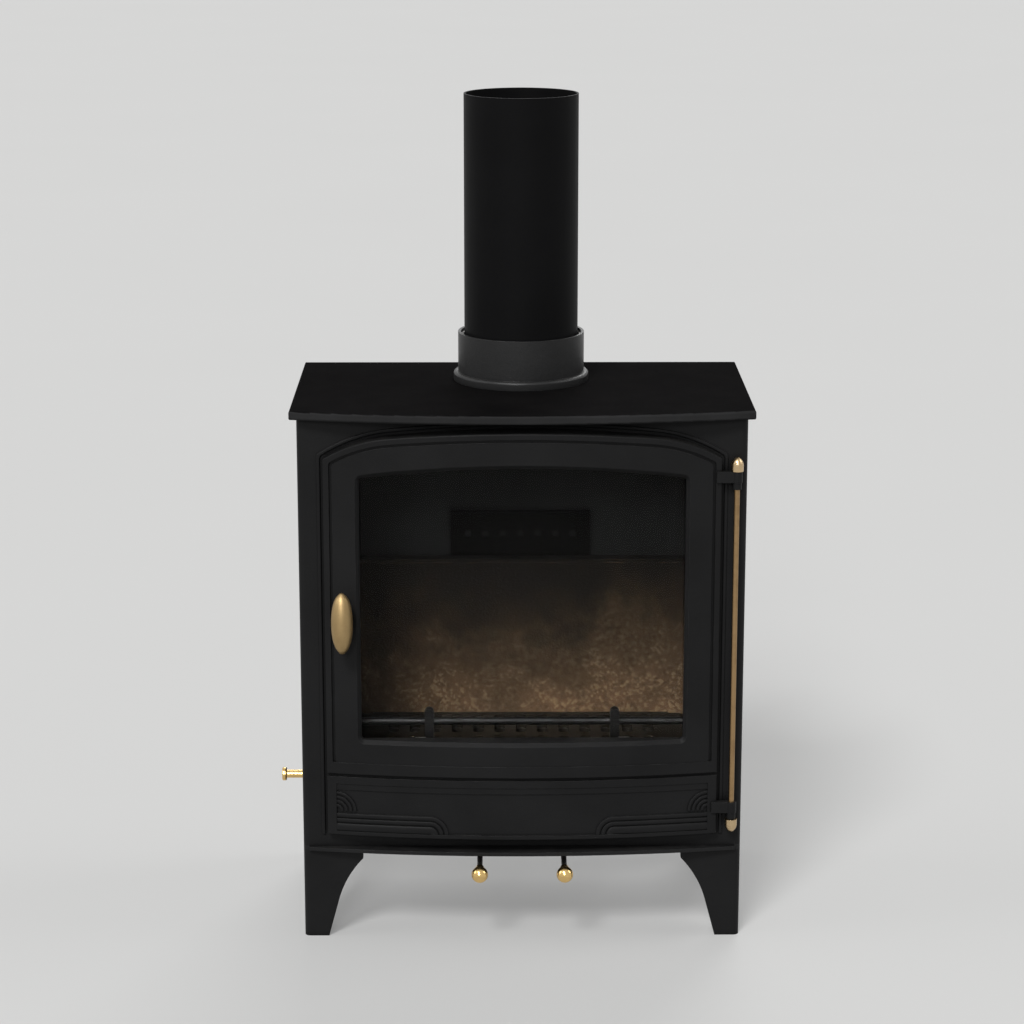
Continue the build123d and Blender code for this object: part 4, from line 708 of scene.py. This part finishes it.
# Mesh helpers
def mesh_piece(name: str, vertices: Sequence[Sequence[float]], faces: Iterable[Sequence[int]] = (),
               edges: Iterable[Sequence[int]] = ()) -> Piece:
    """Makes an object from plain lists, at the origin of the shared frame.

    Args:
        name: The object's name.
        vertices: Its points, in metres.
        faces: Its faces, as point numbers.
        edges: Its loose edges, as pairs of point numbers.

    Returns:
        The object, linked to the scene.
    """
    mesh = bpy.data.meshes.new(name)
    mesh.from_pydata([tuple(v) for v in vertices], list(edges), list(faces))
    mesh.update()
    piece = bpy.data.objects.new(name, mesh)
    bpy.context.scene.collection.objects.link(piece)
    return piece


def poured(name: str, body: bmesh.types.BMesh, material: Material) -> Piece:
    """Turns a BMesh into an object, and frees it.

    Args:
        name: The object's name.
        body: The BMesh.
        material: The object's finish.

    Returns:
        The object.
    """
    piece = mesh_piece(name, [])
    body.to_mesh(piece.data)
    body.free()
    piece.data.materials.append(material)
    return piece


def settle(piece: Piece, body: str, slot: str, *nodes: str) -> Piece:
    """Hangs a finished piece on its body and hides the CAD nodes that it stands for.

    Args:
        piece: The piece, in its place.
        body: The body that it rides on.
        slot: Not used.
        nodes: The CAD nodes that it stands for.

    Returns:
        The piece.
    """
    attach(piece, body)
    if nodes:
        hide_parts(*nodes)
    LOG.info("%s rides on %s, %d faces", piece.name, body, len(piece.data.polygons))
    return piece


def circle(count: int) -> Outline:
    """Lists the cosine and sine of equal turns round a circle."""
    turns = [2 * math.pi * n / count for n in range(count)]
    return [(math.cos(a), math.sin(a)) for a in turns]


def lathe(profile: Outline, base: Vector, steps: int) -> bmesh.types.BMesh:
    """Turns a profile about an upright axis into a closed mesh with smooth sides.

    Args:
        profile: Radius and height pairs in millimetres, from one pole to the other.
        base: The profile's zero height, in metres.
        steps: Sides round.

    Returns:
        The mesh.
    """
    side = UP.orthogonal().normalized()
    across = UP.cross(side)
    body = bmesh.new()
    rings = []
    for radius, height in profile:
        centre = base + UP * height * MM
        spokes = [(side * c + across * s) * radius * MM for c, s in circle(steps)] if radius else [Vector()]
        rings.append([body.verts.new(centre + spoke) for spoke in spokes])
    for low, high in zip(rings, rings[1:]):
        for n in range(steps):
            m = (n + 1) % steps
            corners = [low[n % len(low)], low[m % len(low)], high[m % len(high)], high[n % len(high)]]
            unique = list(dict.fromkeys(corners))
            if len(unique) > 2:
                body.faces.new(unique).smooth = True
    bmesh.ops.recalc_face_normals(body, faces=body.faces)
    return body


def cluster(node: Piece, reach: float) -> list[Vector]:
    """Finds the middles of the separate solids in a CAD node.

    Args:
        node: The node's object.
        reach: A length over any solid's own and under the gap between two, in millimetres.

    Returns:
        The middle of each solid's box, in metres, in a steady order.
    """
    groups: list[list[Vector]] = []
    for vertex in node.data.vertices:
        near = (group for group in groups if (group[0] - vertex.co).length < reach * MM)
        group = next(near, None)
        if group is None:
            groups.append([vertex.co])
        else:
            group.append(vertex.co)
    middles = [Vector([(min(p[k] for p in group) + max(p[k] for p in group)) / 2 for k in range(3)])
               for group in groups]
    return sorted(middles, key=lambda p: (round(p.x, 4), round(p.y, 4), round(p.z, 4)))


# Geometry Nodes
SOCKET_KINDS = {float: "NodeSocketFloat", int: "NodeSocketInt", tuple: "NodeSocketVector",
                Material: "NodeSocketMaterial"}


@dataclass
class Grown(ABC):
    """A piece that a Geometry Nodes tree grows from points or lines, kept as a plain mesh."""

    name: str
    body: str
    nodes: tuple[str, ...]
    slot: ClassVar[str]

    @abstractmethod
    def seed(self) -> Piece:
        """Makes the points or lines that the tree starts from."""

    @abstractmethod
    def inputs(self) -> dict[str, Any]:
        """Lists the tree's own inputs, with lengths in metres."""

    @abstractmethod
    def grow(self, t: Tree, given: Any) -> Socket:
        """Writes the tree's own nodes.

        Args:
            t: The tree.
            given: The sockets that it is given: Geometry, Finish and its own inputs.

        Returns:
            The grown geometry.
        """

    def tree(self, values: dict[str, Any]) -> bpy.types.NodeTree:
        """Builds the tree, up to Realize Instances and Set Material at its end.

        Args:
            values: Each input's name and its value: a number, a whole number, a vector or a material.

        Returns:
            The tree.
        """
        group = bpy.data.node_groups.new(f"{self.name}_tree", "GeometryNodeTree")
        for side in ("INPUT", "OUTPUT"):
            group.interface.new_socket("Geometry", in_out=side, socket_type="NodeSocketGeometry")
        for label, value in values.items():
            group.interface.new_socket(label, in_out="INPUT", socket_type=SOCKET_KINDS[type(value)])
        t = Tree(group)
        given = t.add("NodeGroupInput").outputs
        real = t.first("GeometryNodeRealizeInstances", {0: self.grow(t, given)})
        painted = t.first("GeometryNodeSetMaterial", {"Geometry": real, "Material": given["Finish"]})
        t.add("NodeGroupOutput", {0: painted})
        return group

    def build(self, finish: Material) -> Piece:
        """Args:
            finish: The piece's material.

        Returns:
            The finished piece.
        """
        piece = self.seed()
        values = {**self.inputs(), "Finish": finish}
        modifier = piece.modifiers.new("build", "NODES")
        modifier.node_group = self.tree(values)
        for item in modifier.node_group.interface.items_tree:
            if item.in_out == "INPUT" and item.name in values:
                modifier[item.identifier] = values[item.name]
        bpy.context.view_layer.update()
        ready = piece.evaluated_get(bpy.context.evaluated_depsgraph_get())
        mesh = bpy.data.meshes.new_from_object(ready)
        piece.modifiers.clear()
        old, piece.data = piece.data, mesh
        bpy.data.meshes.remove(old)
        mesh.name = piece.name
        return settle(piece, self.body, self.slot, *self.nodes)


class Head(Enum):
    """The kinds of screw head on the stove: the number of sides of the head and of its socket."""

    HEX = (6, 0)
    PAN = (32, 6)


@dataclass
class ScrewSet(Grown):
    """Equal screws on one body: one screw along +Z, its head's seat at zero, copied to each place."""

    head: Head
    places: Sequence[Vector]
    axis: Vector
    head_radius: float
    head_height: float
    shank_radius: float
    shank_length: float
    washer_radius: float = 0.0
    washer_height: float = 0.0
    rim_share: float = 0.74
    cap_share: float = 0.84
    socket_share: float = 0.5
    socket_rise: float = 0.45
    washer_sides: int = 32
    shank_sides: int = 20
    slot: ClassVar[str] = "bare_steel"

    def seed(self) -> Piece:
        """Makes a point for each screw."""
        return mesh_piece(self.name, self.places)

    def inputs(self) -> dict[str, Any]:
        """Lists the screw's sizes and its turn.

        Returns:
            Each input's name and value.
        """
        sizes = ("head_radius", "head_height", "shank_radius", "shank_length", "washer_radius",
                 "washer_height")
        turn = UP.rotation_difference(self.axis).to_euler()
        return {size: getattr(self, size) * MM for size in sizes} | {"turn": tuple(turn)}

    def grow(self, t: Tree, given: Any) -> Socket:
        """Joins head, washer and shank, cuts the head's socket, and copies the screw.

        Args:
            t: The tree.
            given: The sockets that it is given.

        Returns:
            The screws.
        """
        def turned(vertices: int, low: Any, high: Any, depth: Any, base: Any) -> Socket:
            """Makes a cone or a cylinder.

            Args:
                vertices: Sides round.
                low: The radius at the bottom.
                high: The radius at the top.
                depth: The height of the drum.
                base: The height that it stands on.

            Returns:
                The drum.
            """
            sizes = {"Vertices": vertices, "Radius Bottom": low, "Radius Top": high, "Depth": depth}
            drum = t.first("GeometryNodeMeshCone", sizes)
            shift = t.first("ShaderNodeCombineXYZ", {"Z": base})
            return t.first("GeometryNodeTransform", {"Geometry": drum, "Translation": shift})

        radius, height, washer = given["head_radius"], given["head_height"], given["washer_height"]
        sides, socket = self.head.value
        rim = t.times(height, self.rim_share)
        top, cap = t.times(radius, self.cap_share), t.times(height, 1 - self.rim_share)
        parts = [turned(sides, radius, radius, rim, washer),
                 turned(sides, radius, top, cap, t.math("ADD", washer, rim))]
        if socket:
            whole = t.add("GeometryNodeMeshBoolean", operation="UNION")
            for part in parts:
                t.join(part, whole.inputs[1])
            small = t.times(radius, self.socket_share)
            rise = t.math("MULTIPLY_ADD", height, self.socket_rise, washer)
            cut = t.add("GeometryNodeMeshBoolean", {"Mesh 1": whole.outputs[0]}, operation="DIFFERENCE")
            t.join(turned(socket, small, small, height, rise), cut.inputs[1])
            parts = [cut.outputs[0]]
        if self.washer_radius:
            wide = given["washer_radius"]
            parts.append(turned(self.washer_sides, wide, wide, washer, 0.0))
        shank, length = given["shank_radius"], given["shank_length"]
        parts.append(turned(self.shank_sides, shank, shank, length, t.times(length, -1.0)))
        screws = {"Points": given["Geometry"], "Instance": t.joined(parts), "Rotation": given["turn"]}
        return t.first("GeometryNodeInstanceOnPoints", screws)


# Door
@dataclass
class DoorOutline:
    """The door's arched outline and bowed front, as the casting has them."""

    half_width: float = 210.75
    bottom: float = 121.4
    top: float = 570.0
    crown_radius: float = 1450.0
    crown_span: float = 140.0
    shoulder_radius: float = 160.0
    bow_radius: float = 1120.0
    edge_front: float = -9.0

    def front_at(self, x: float, sunk: float = 0.0) -> float:
        """Returns Y of the bowed front at a place along X, sunk by a depth."""
        middle = self.edge_front + math.sqrt(self.bow_radius ** 2 - self.half_width ** 2)
        return middle - math.sqrt((self.bow_radius - sunk) ** 2 - x ** 2)

    def points(self, inset: float, steps: int = 24) -> Outline:
        """Lists the outline drawn in by an inset, as X and Z pairs round the loop.

        Args:
            inset: How far in, in millimetres.
            steps: Points on each arc.

        Returns:
            The points, with no repeat at the end.
        """
        half = self.half_width - inset
        lean = math.asin(self.crown_span / self.crown_radius)
        crown_z = self.top - self.crown_radius
        reach = self.crown_radius - self.shoulder_radius
        centre = (reach * math.sin(lean), crown_z + reach * math.cos(lean))
        crown = self.crown_radius - inset
        shoulder = self.shoulder_radius - inset
        fall = math.asin((half - centre[0]) / shoulder)
        right = [(half, self.bottom + inset)]
        for n in range(steps + 1):
            a = fall + (lean - fall) * n / steps
            right.append((centre[0] + shoulder * math.sin(a), centre[1] + shoulder * math.cos(a)))
        for n in range(1, steps):
            a = lean * (1 - n / steps)
            right.append((crown * math.sin(a), crown_z + crown * math.cos(a)))
        left = [(-x, z) for x, z in reversed(right)]
        return right + [(0.0, self.top - inset)] + left


@dataclass
class Carving(Grown):
    """The rounded crowns on the casting's quarter fans and reeds, on both sides of the panel."""

    outline: DoorOutline
    crest_sunk: float = 1.0
    roundness: float = 0.23
    profile_points: int = 16
    fan_x: float = 201.0
    fan_z: float = 148.8
    fan_radii: tuple[float, ...] = (20.3, 15.5, 10.7, 5.9)
    fan_half_width: float = 1.48
    reed_turn_x: float = 99.5
    reed_turn_z: float = 126.0
    reeds: tuple[tuple[float, float], ...] = ((17.8, 2.18), (12.1, 2.18), (4.3, 4.26))
    arc_steps: int = 14
    run_steps: int = 12
    slot: ClassVar[str] = "cast_black"

    def arc(self, x: float, z: float, radius: float) -> Outline:
        """Lists the points of a quarter turn in X and Z, from straight up to the right."""
        turns = [math.pi / 2 * (1 - n / self.arc_steps) for n in range(self.arc_steps + 1)]
        return [(x + radius * math.cos(a), z + radius * math.sin(a)) for a in turns]

    def ribs(self) -> list[tuple[Outline, float]]:
        """Lists each rib on the left half: its line in X and Z, and its half width.

        Returns:
            The ribs.
        """
        ribs = [(self.arc(-self.fan_x, self.fan_z, r), self.fan_half_width) for r in self.fan_radii]
        length = self.fan_x - self.reed_turn_x
        for radius, half in self.reeds:
            run = [(-self.fan_x + length * n / self.run_steps, self.reed_turn_z + radius)
                   for n in range(self.run_steps)]
            ribs.append((run + self.arc(-self.reed_turn_x, self.reed_turn_z, radius), half))
        return ribs

    def seed(self) -> Piece:
        """Draws the ribs' lines, each point with its outward direction and its half width.

        Returns:
            The lines.
        """
        points: list[Vector] = []
        outward: list[float] = []
        widths: list[float] = []
        edges: list[tuple[int, int]] = []
        for side in (-1, 1):
            for line, half in self.ribs():
                first = len(points)
                for x, z in line:
                    points.append(place(side * -x, self.outline.front_at(x, self.crest_sunk), z))
                    outward.extend(Vector((side * -x / self.outline.bow_radius, -1.0, 0.0)).normalized())
                    widths.append(half * MM)
                edges += [(n, n + 1) for n in range(first, len(points) - 1)]
        piece = mesh_piece(self.name, points, edges=edges)
        piece.data.attributes.new("outward", "FLOAT_VECTOR", "POINT").data.foreach_set("vector", outward)
        piece.data.attributes.new("half_width", "FLOAT", "POINT").data.foreach_set("value", widths)
        return piece

    def inputs(self) -> dict[str, Any]:
        """Lists the crown's roundness and the points of its profile."""
        return {"roundness": self.roundness, "profile_points": self.profile_points}

    def grow(self, t: Tree, given: Any) -> Socket:
        """Sweeps a low rounded crown along each line.

        Args:
            t: The tree.
            given: The sockets that it is given.

        Returns:
            The crowns.
        """
        lines = t.first("GeometryNodeMeshToCurve", {"Mesh": given["Geometry"]})
        outward = t.first("GeometryNodeInputNamedAttribute", {"Name": "outward"}, data_type="FLOAT_VECTOR")
        aimed = t.first("GeometryNodeSetCurveNormal", {"Curve": lines, "Normal": outward}, mode="FREE")
        width = t.first("GeometryNodeInputNamedAttribute", {"Name": "half_width"}, data_type="FLOAT")
        low = t.first("ShaderNodeCombineXYZ", {"X": given["roundness"], "Y": 1.0, "Z": 1.0})
        ring = t.ring(given["profile_points"], 1.0)
        profile = t.first("GeometryNodeTransform", {"Geometry": ring, "Scale": low})
        swept = t.first("GeometryNodeCurveToMesh", {"Curve": aimed, "Profile Curve": profile,
                                                    "Scale": width, "Fill Caps": True})
        return t.first("GeometryNodeSetShadeSmooth", {"Geometry": swept})


@dataclass
class RopeSeal(Grown):
    """A twisted rope along a closed path: equal strands that wind about it, each a round tube."""

    path: Sequence[Vector]
    width: float
    strands: int = 3
    lay: float = 14.0
    step: float = 1.1
    sides: int = 8
    fullness: float = 1.9
    slot: ClassVar[str] = "rope"

    def seed(self) -> Piece:
        """Draws the closed path."""
        count = len(self.path)
        return mesh_piece(self.name, self.path, edges=[(n, (n + 1) % count) for n in range(count)])

    def inputs(self) -> dict[str, Any]:
        """Works out the strands' radius and their distance from the path.

        Returns:
            Each input's name and value.
        """
        strand = self.width / 2 / (1 + 1 / math.sin(math.pi / self.strands)) * self.fullness
        return {"strand": strand * MM, "offset": (self.width / 2 - strand) * MM, "lay": self.lay * MM,
                "step": self.step * MM, "sides": self.sides}

    def grow(self, t: Tree, given: Any) -> Socket:
        """Winds each strand about the path and gives it thickness.

        Args:
            t: The tree.
            given: The sockets that it is given.

        Returns:
            The rope.
        """
        line = t.first("GeometryNodeMeshToCurve", {"Mesh": given["Geometry"]})
        even = t.first("GeometryNodeResampleCurve", {"Curve": line, "Length": given["step"]}, mode="LENGTH")
        along = t.add("GeometryNodeSplineParameter").outputs["Factor"]
        total = t.add("GeometryNodeSplineLength").outputs["Length"]
        turns = t.math("ROUND", t.math("DIVIDE", total, given["lay"]))
        angle = t.times(t.times(along, turns), 2 * math.pi)
        normal = t.first("GeometryNodeInputNormal")
        across = t.vector("CROSS_PRODUCT", normal, t.first("GeometryNodeInputTangent")).outputs[0]
        ring = t.ring(given["sides"], given["strand"])
        tubes = []
        for n in range(self.strands):
            turned = t.math("ADD", angle, 2 * math.pi * n / self.strands)
            sides = [t.vector("SCALE", way, t.times(t.math(wave, turned), given["offset"])).outputs[0]
                     for way, wave in ((normal, "COSINE"), (across, "SINE"))]
            shift = t.vector("ADD", *sides).outputs[0]
            wound = t.first("GeometryNodeSetPosition", {"Geometry": even, "Offset": shift})
            tubes.append(t.first("GeometryNodeCurveToMesh", {"Curve": wound, "Profile Curve": ring}))
        return t.first("GeometryNodeSetShadeSmooth", {"Geometry": t.joined(tubes)})


@dataclass
class Door:
    """The door: casting, glass and its fixings, carving and rope."""

    finishes: Finishes
    outline: DoorOutline = field(default_factory=DoorOutline)
    rope_inset: float = 5.9
    rope_y: float = -2.65
    rope_width: float = 4.6
    screw_head: float = 2.2
    weld: float = 0.001

    def dress_castings(self) -> None:
        """Paints the casting and finishes the glass and its clips."""
        dress(self.finishes.casting, "door_casting")
        dress(self.finishes.glass, "door_glass")
        dress(self.finishes.steel, "glass_clips", "clip_screws")

    def build_gasket(self) -> None:
        """Makes the glass's flat tape from the plain ring, with its triangles merged."""
        body = bmesh.new()
        body.from_mesh(frame["nodes"]["glass_gasket"].data)
        bmesh.ops.remove_doubles(body, verts=body.verts, dist=self.weld * MM)
        bmesh.ops.dissolve_limit(body, angle_limit=math.radians(1), verts=body.verts, edges=body.edges)
        settle(poured("glass_tape", body, self.finishes.tape), "door", "rope", "glass_gasket")

    def build_rope(self) -> None:
        """Lays the rope seal in the groove at the back."""
        path = [place(x, self.rope_y, z) for x, z in self.outline.points(self.rope_inset)]
        RopeSeal("door_rope", "door", ("door_rope_seal",), path, self.rope_width).build(self.finishes.rope)

    def build_screws(self) -> None:
        """Makes the clips' screws from where the plain ones stand."""
        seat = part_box("clip_screws")[1].y - self.screw_head * MM
        seats = [Vector((p.x, seat, p.z)) for p in cluster(frame["nodes"]["clip_screws"], reach=10.0)]
        ScrewSet("clip_screw_set", "door", ("clip_screws",), Head.PAN, seats, BACK, head_radius=3.7,
                 head_height=self.screw_head, shank_radius=1.9, shank_length=4.5).build(self.finishes.steel)

    def build(self) -> None:
        """Builds and dresses the whole door."""
        self.dress_castings()
        self.build_gasket()
        self.build_rope()
        self.build_screws()
        Carving("door_panel_carving", "door", (), self.outline).build(self.finishes.casting)


# Handle, hinge and controls
@dataclass
class Handle:
    """The turned olive grip and the latch behind it."""

    finishes: Finishes
    radius: float = 11.5
    half_length: float = 33.0
    end_radius: float = 2.9
    end_height: float = 1.6
    foot_radius: float = 2.6
    tip_radius: float = 1.8
    tip_height: float = 0.6
    swell: float = 2.3
    roundness: float = 0.62

    def profile(self, steps: int = 28) -> Outline:
        """Lists the grip's turned profile from its foot to its tip.

        Args:
            steps: Points along the olive.

        Returns:
            Radius and height pairs in millimetres.
        """
        made = [(0.0, -self.half_length), (self.foot_radius, -self.half_length)]
        for n in range(1, steps):
            t = -1 + 2 * n / steps
            fullness = (1 - abs(t) ** self.swell) ** self.roundness
            made.append((self.end_radius + (self.radius - self.end_radius) * fullness,
                         t * (self.half_length - self.end_height)))
        made += [(self.foot_radius, self.half_length - self.tip_height),
                 (self.tip_radius, self.half_length), (0.0, self.half_length)]
        return made

    def build(self) -> None:
        """Makes the grip and dresses the latch."""
        low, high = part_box("handle_knob")
        middle = (low + high) / 2
        middle.y = low.y + self.radius * MM
        grip = poured("handle_grip", lathe(self.profile(), middle, steps=72), self.finishes.olive)
        settle(grip, "door_handle", "brass_brushed", "handle_knob")
        dress(self.finishes.steel, "handle_spindle", "latch_tongue", "spindle_nut")


@dataclass
class Hinge:
    """The long brass hinge rod and its two finials."""

    finishes: Finishes

    def build(self) -> None:
        """Dresses the rod and the finials."""
        dress(self.finishes.rod, "hinge_pin")
        dress(self.finishes.aged, "hinge_finial_top", "hinge_finial_bottom")


@dataclass
class Controls:
    """The air slides and the riddling gear with their brass knobs."""

    finishes: Finishes

    def build(self) -> None:
        """Dresses the controls."""
        dress(self.finishes.brass, "primary_air_knob", "secondary_air_knob", "riddling_knob")
        dress(self.finishes.steel, "primary_air_rod", "secondary_air_rod", "riddling_rod")
        dress(self.finishes.plate, "primary_air_slide", "secondary_air_slide", "slide_rails",
              "air_guide_bracket", "riddling_rails")
        dress(self.finishes.casting, "riddling_plate", "riddling_lug")


# Body, firebox and flue
@dataclass
class Body:
    """The body shell, its legs and the screws that hold it together."""

    finishes: Finishes
    solids_apart: float = 40.0
    bracket_thick: float = 3.0

    def dress_shell(self) -> None:
        """Paints the plates and castings."""
        dress(self.finishes.plate, "base_plate", "side_panel_left", "side_panel_right", "top_brackets")
        dress(self.finishes.back, "back_panel")
        dress(self.finishes.casting, "front_frame", "leg_front_left", "leg_front_right", "leg_rear_left",
              "leg_rear_right")
        dress(self.finishes.top, "top_plate")
        dress(self.finishes.steel, "latch_keeper", "leg_bolts", "top_bolts", "back_screws")

    def build_screws(self) -> None:
        """Makes the back panel's screws and the bolts under the top."""
        nodes = frame["nodes"]
        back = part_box("back_panel")[1].y
        seats = [Vector((p.x, back, p.z)) for p in cluster(nodes["back_screws"], self.solids_apart)]
        head = {"head_radius": 5.0, "head_height": 3.2, "shank_radius": 3.0, "washer_radius": 5.9}
        ScrewSet("back_screw_set", "stove_body", ("back_screws",), Head.PAN, seats, BACK, shank_length=6.0,
                 washer_height=0.7, **head).build(self.finishes.steel)
        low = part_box("top_brackets")[1].z - self.bracket_thick * MM
        seats = [Vector((p.x, p.y, low)) for p in cluster(nodes["top_bolts"], self.solids_apart)]
        ScrewSet("top_bolt_set", "stove_body", ("top_bolts",), Head.HEX, seats, -UP, shank_length=9.0,
                 washer_height=0.8, **head).build(self.finishes.steel)

    def build(self) -> None:
        """Builds and dresses the body."""
        self.dress_shell()
        self.build_screws()


@dataclass
class Firebox:
    """The bricks, grate, guard, duct, throat plate and ash pan inside."""

    finishes: Finishes

    def build(self) -> None:
        """Dresses everything inside the shell."""
        dress(self.finishes.brick, "firebrick_rear", "firebrick_left", "firebrick_right")
        dress(self.finishes.sooted, "grate_frame", "secondary_air_duct", "airwash_deflector",
              "baffle_rests", "throat_plate", "firebed_tray", "tray_ledges")
        dress(self.finishes.guard, "guard_bar", "guard_post_left", "guard_post_right")
        dress(self.finishes.plate, "pan_runners", "ash_pan")


@dataclass
class Flue:
    """The collar, the first length of pipe and the rope between them."""

    finishes: Finishes
    rope_radius: float = 64.4
    rope_width: float = 3.0
    rope_drop: float = 1.8
    rope_lay: float = 9.0
    rope_points: int = 120

    def build_rope(self) -> None:
        """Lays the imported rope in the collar's mouth, wound round the pipe."""
        low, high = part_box("flue_collar")
        centre = (low + high) / 2
        centre.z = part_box("flue_seal_rope")[1].z - self.rope_drop * MM
        turns = circle(self.rope_points)
        path = [centre + Vector((c, s, 0.0)) * self.rope_radius * MM for c, s in turns]
        RopeSeal("flue_rope", "stove_body", ("flue_seal_rope",), path, self.rope_width,
                 lay=self.rope_lay).build(self.finishes.rope)

    def build(self) -> None:
        """Builds and dresses the flue."""
        dress(self.finishes.collar, "flue_collar")
        dress(self.finishes.pipe, "flue_pipe")
        dress(self.finishes.steel, "collar_bolts")
        self.build_rope()


# Studio
@dataclass(frozen=True)
class Softbox:
    """A far, broad lamp: degrees round from the front to the right, degrees up, strength, and breadth."""

    name: str
    azimuth: float
    elevation: float
    power: float
    spread: float


LAMPS = (
    Softbox("main", -22.0, 47.0, 2.2, 16.0),
    Softbox("front", -8.0, 22.0, 0.85, 12.0),
    Softbox("left", -85.0, 30.0, 0.5, 30.0),
    Softbox("right", 95.0, 32.0, 0.6, 30.0),
    Softbox("rear", 168.0, 38.0, 1.3, 30.0),
)


@dataclass
class Studio:
    """The floor, the lamps, the world and the camera at the photograph's viewpoint."""

    eye: Point = (-28.0, -2951.0, 1205.0)
    fill_share: float = 0.86
    sensor: float = 36.0
    far_clip: float = 200.0
    floor_half: float = 40.0
    background: Colour = (0.665, 0.668, 0.668)
    ambient: float = 0.32

    def build_floor(self) -> None:
        """Makes the pale floor."""
        h = self.floor_half
        floor = mesh_piece("floor", [(-h, -h, 0), (h, -h, 0), (h, h, 0), (-h, h, 0)], [(0, 1, 2, 3)])
        floor.data.materials.append(StudioGround().make())

    def build_world(self) -> None:
        """Makes an even world that the camera, metal and glass see as the pale background."""
        world = bpy.data.worlds.new("studio")
        bpy.context.scene.world = world
        world.use_nodes = True
        t = Tree(world.node_tree)
        sky = world.node_tree.nodes["Background"].inputs
        t.join(self.background, sky["Color"])
        t.join(t.math("MULTIPLY_ADD", t.seen(), 1.0 - self.ambient, self.ambient), sky["Strength"])

    @staticmethod
    def build_lamp(lamp: Softbox) -> None:
        """Adds one far, broad lamp that lights the floor evenly.

        Args:
            lamp: The lamp.
        """
        data = bpy.data.lights.new(lamp.name, "SUN")
        data.energy = lamp.power
        data.angle = math.radians(lamp.spread)
        piece = bpy.data.objects.new(lamp.name, data)
        bpy.context.scene.collection.objects.link(piece)
        turn, rise = math.radians(lamp.azimuth), math.radians(lamp.elevation)
        source = Vector((math.sin(turn) * math.cos(rise), -math.cos(turn) * math.cos(rise), math.sin(rise)))
        piece.rotation_euler = source.to_track_quat("Z", "Y").to_euler()

    def build_camera(self) -> None:
        """Sets the camera at the photograph's viewpoint, aimed and zoomed to fill the frame."""
        data = bpy.data.cameras.new("camera")
        camera = bpy.data.objects.new("camera", data)
        bpy.context.scene.collection.objects.link(camera)
        low, high = CAD_BOX
        camera.location = place(*self.eye)
        gaze = (low + high) / 2 - camera.location
        camera.rotation_euler = gaze.to_track_quat("-Z", "Y").to_euler()
        turn = camera.rotation_euler.to_matrix().inverted()
        corners = [Vector((x, y, z)) for x in (low.x, high.x) for y in (low.y, high.y)
                   for z in (low.z, high.z)]
        spans = [turn @ (corner - camera.location) for corner in corners]
        widest = max(max(abs(p.x), abs(p.y)) / -p.z for p in spans)
        data.sensor_width = self.sensor
        data.lens = self.sensor / 2 * self.fill_share / widest
        data.clip_end = self.far_clip
        bpy.context.scene.camera = camera
        LOG.info("camera lens %.1f mm", data.lens)

    def build(self) -> None:
        """Builds the studio."""
        self.build_floor()
        self.build_world()
        for lamp in LAMPS:
            self.build_lamp(lamp)
        self.build_camera()
        bpy.context.scene.view_settings.view_transform = "Standard"


def main() -> None:
    """Builds the stove's sub-assemblies in order, then the studio."""
    logging.basicConfig(level=logging.INFO, format="%(name)s: %(message)s")
    finishes = Finishes()
    for assembly in (Body, Firebox, Flue, Door, Handle, Hinge, Controls):
        LOG.info("building %s", assembly.__name__)
        assembly(finishes).build()
    Studio().build()


if __name__ == "__main__":
    main()
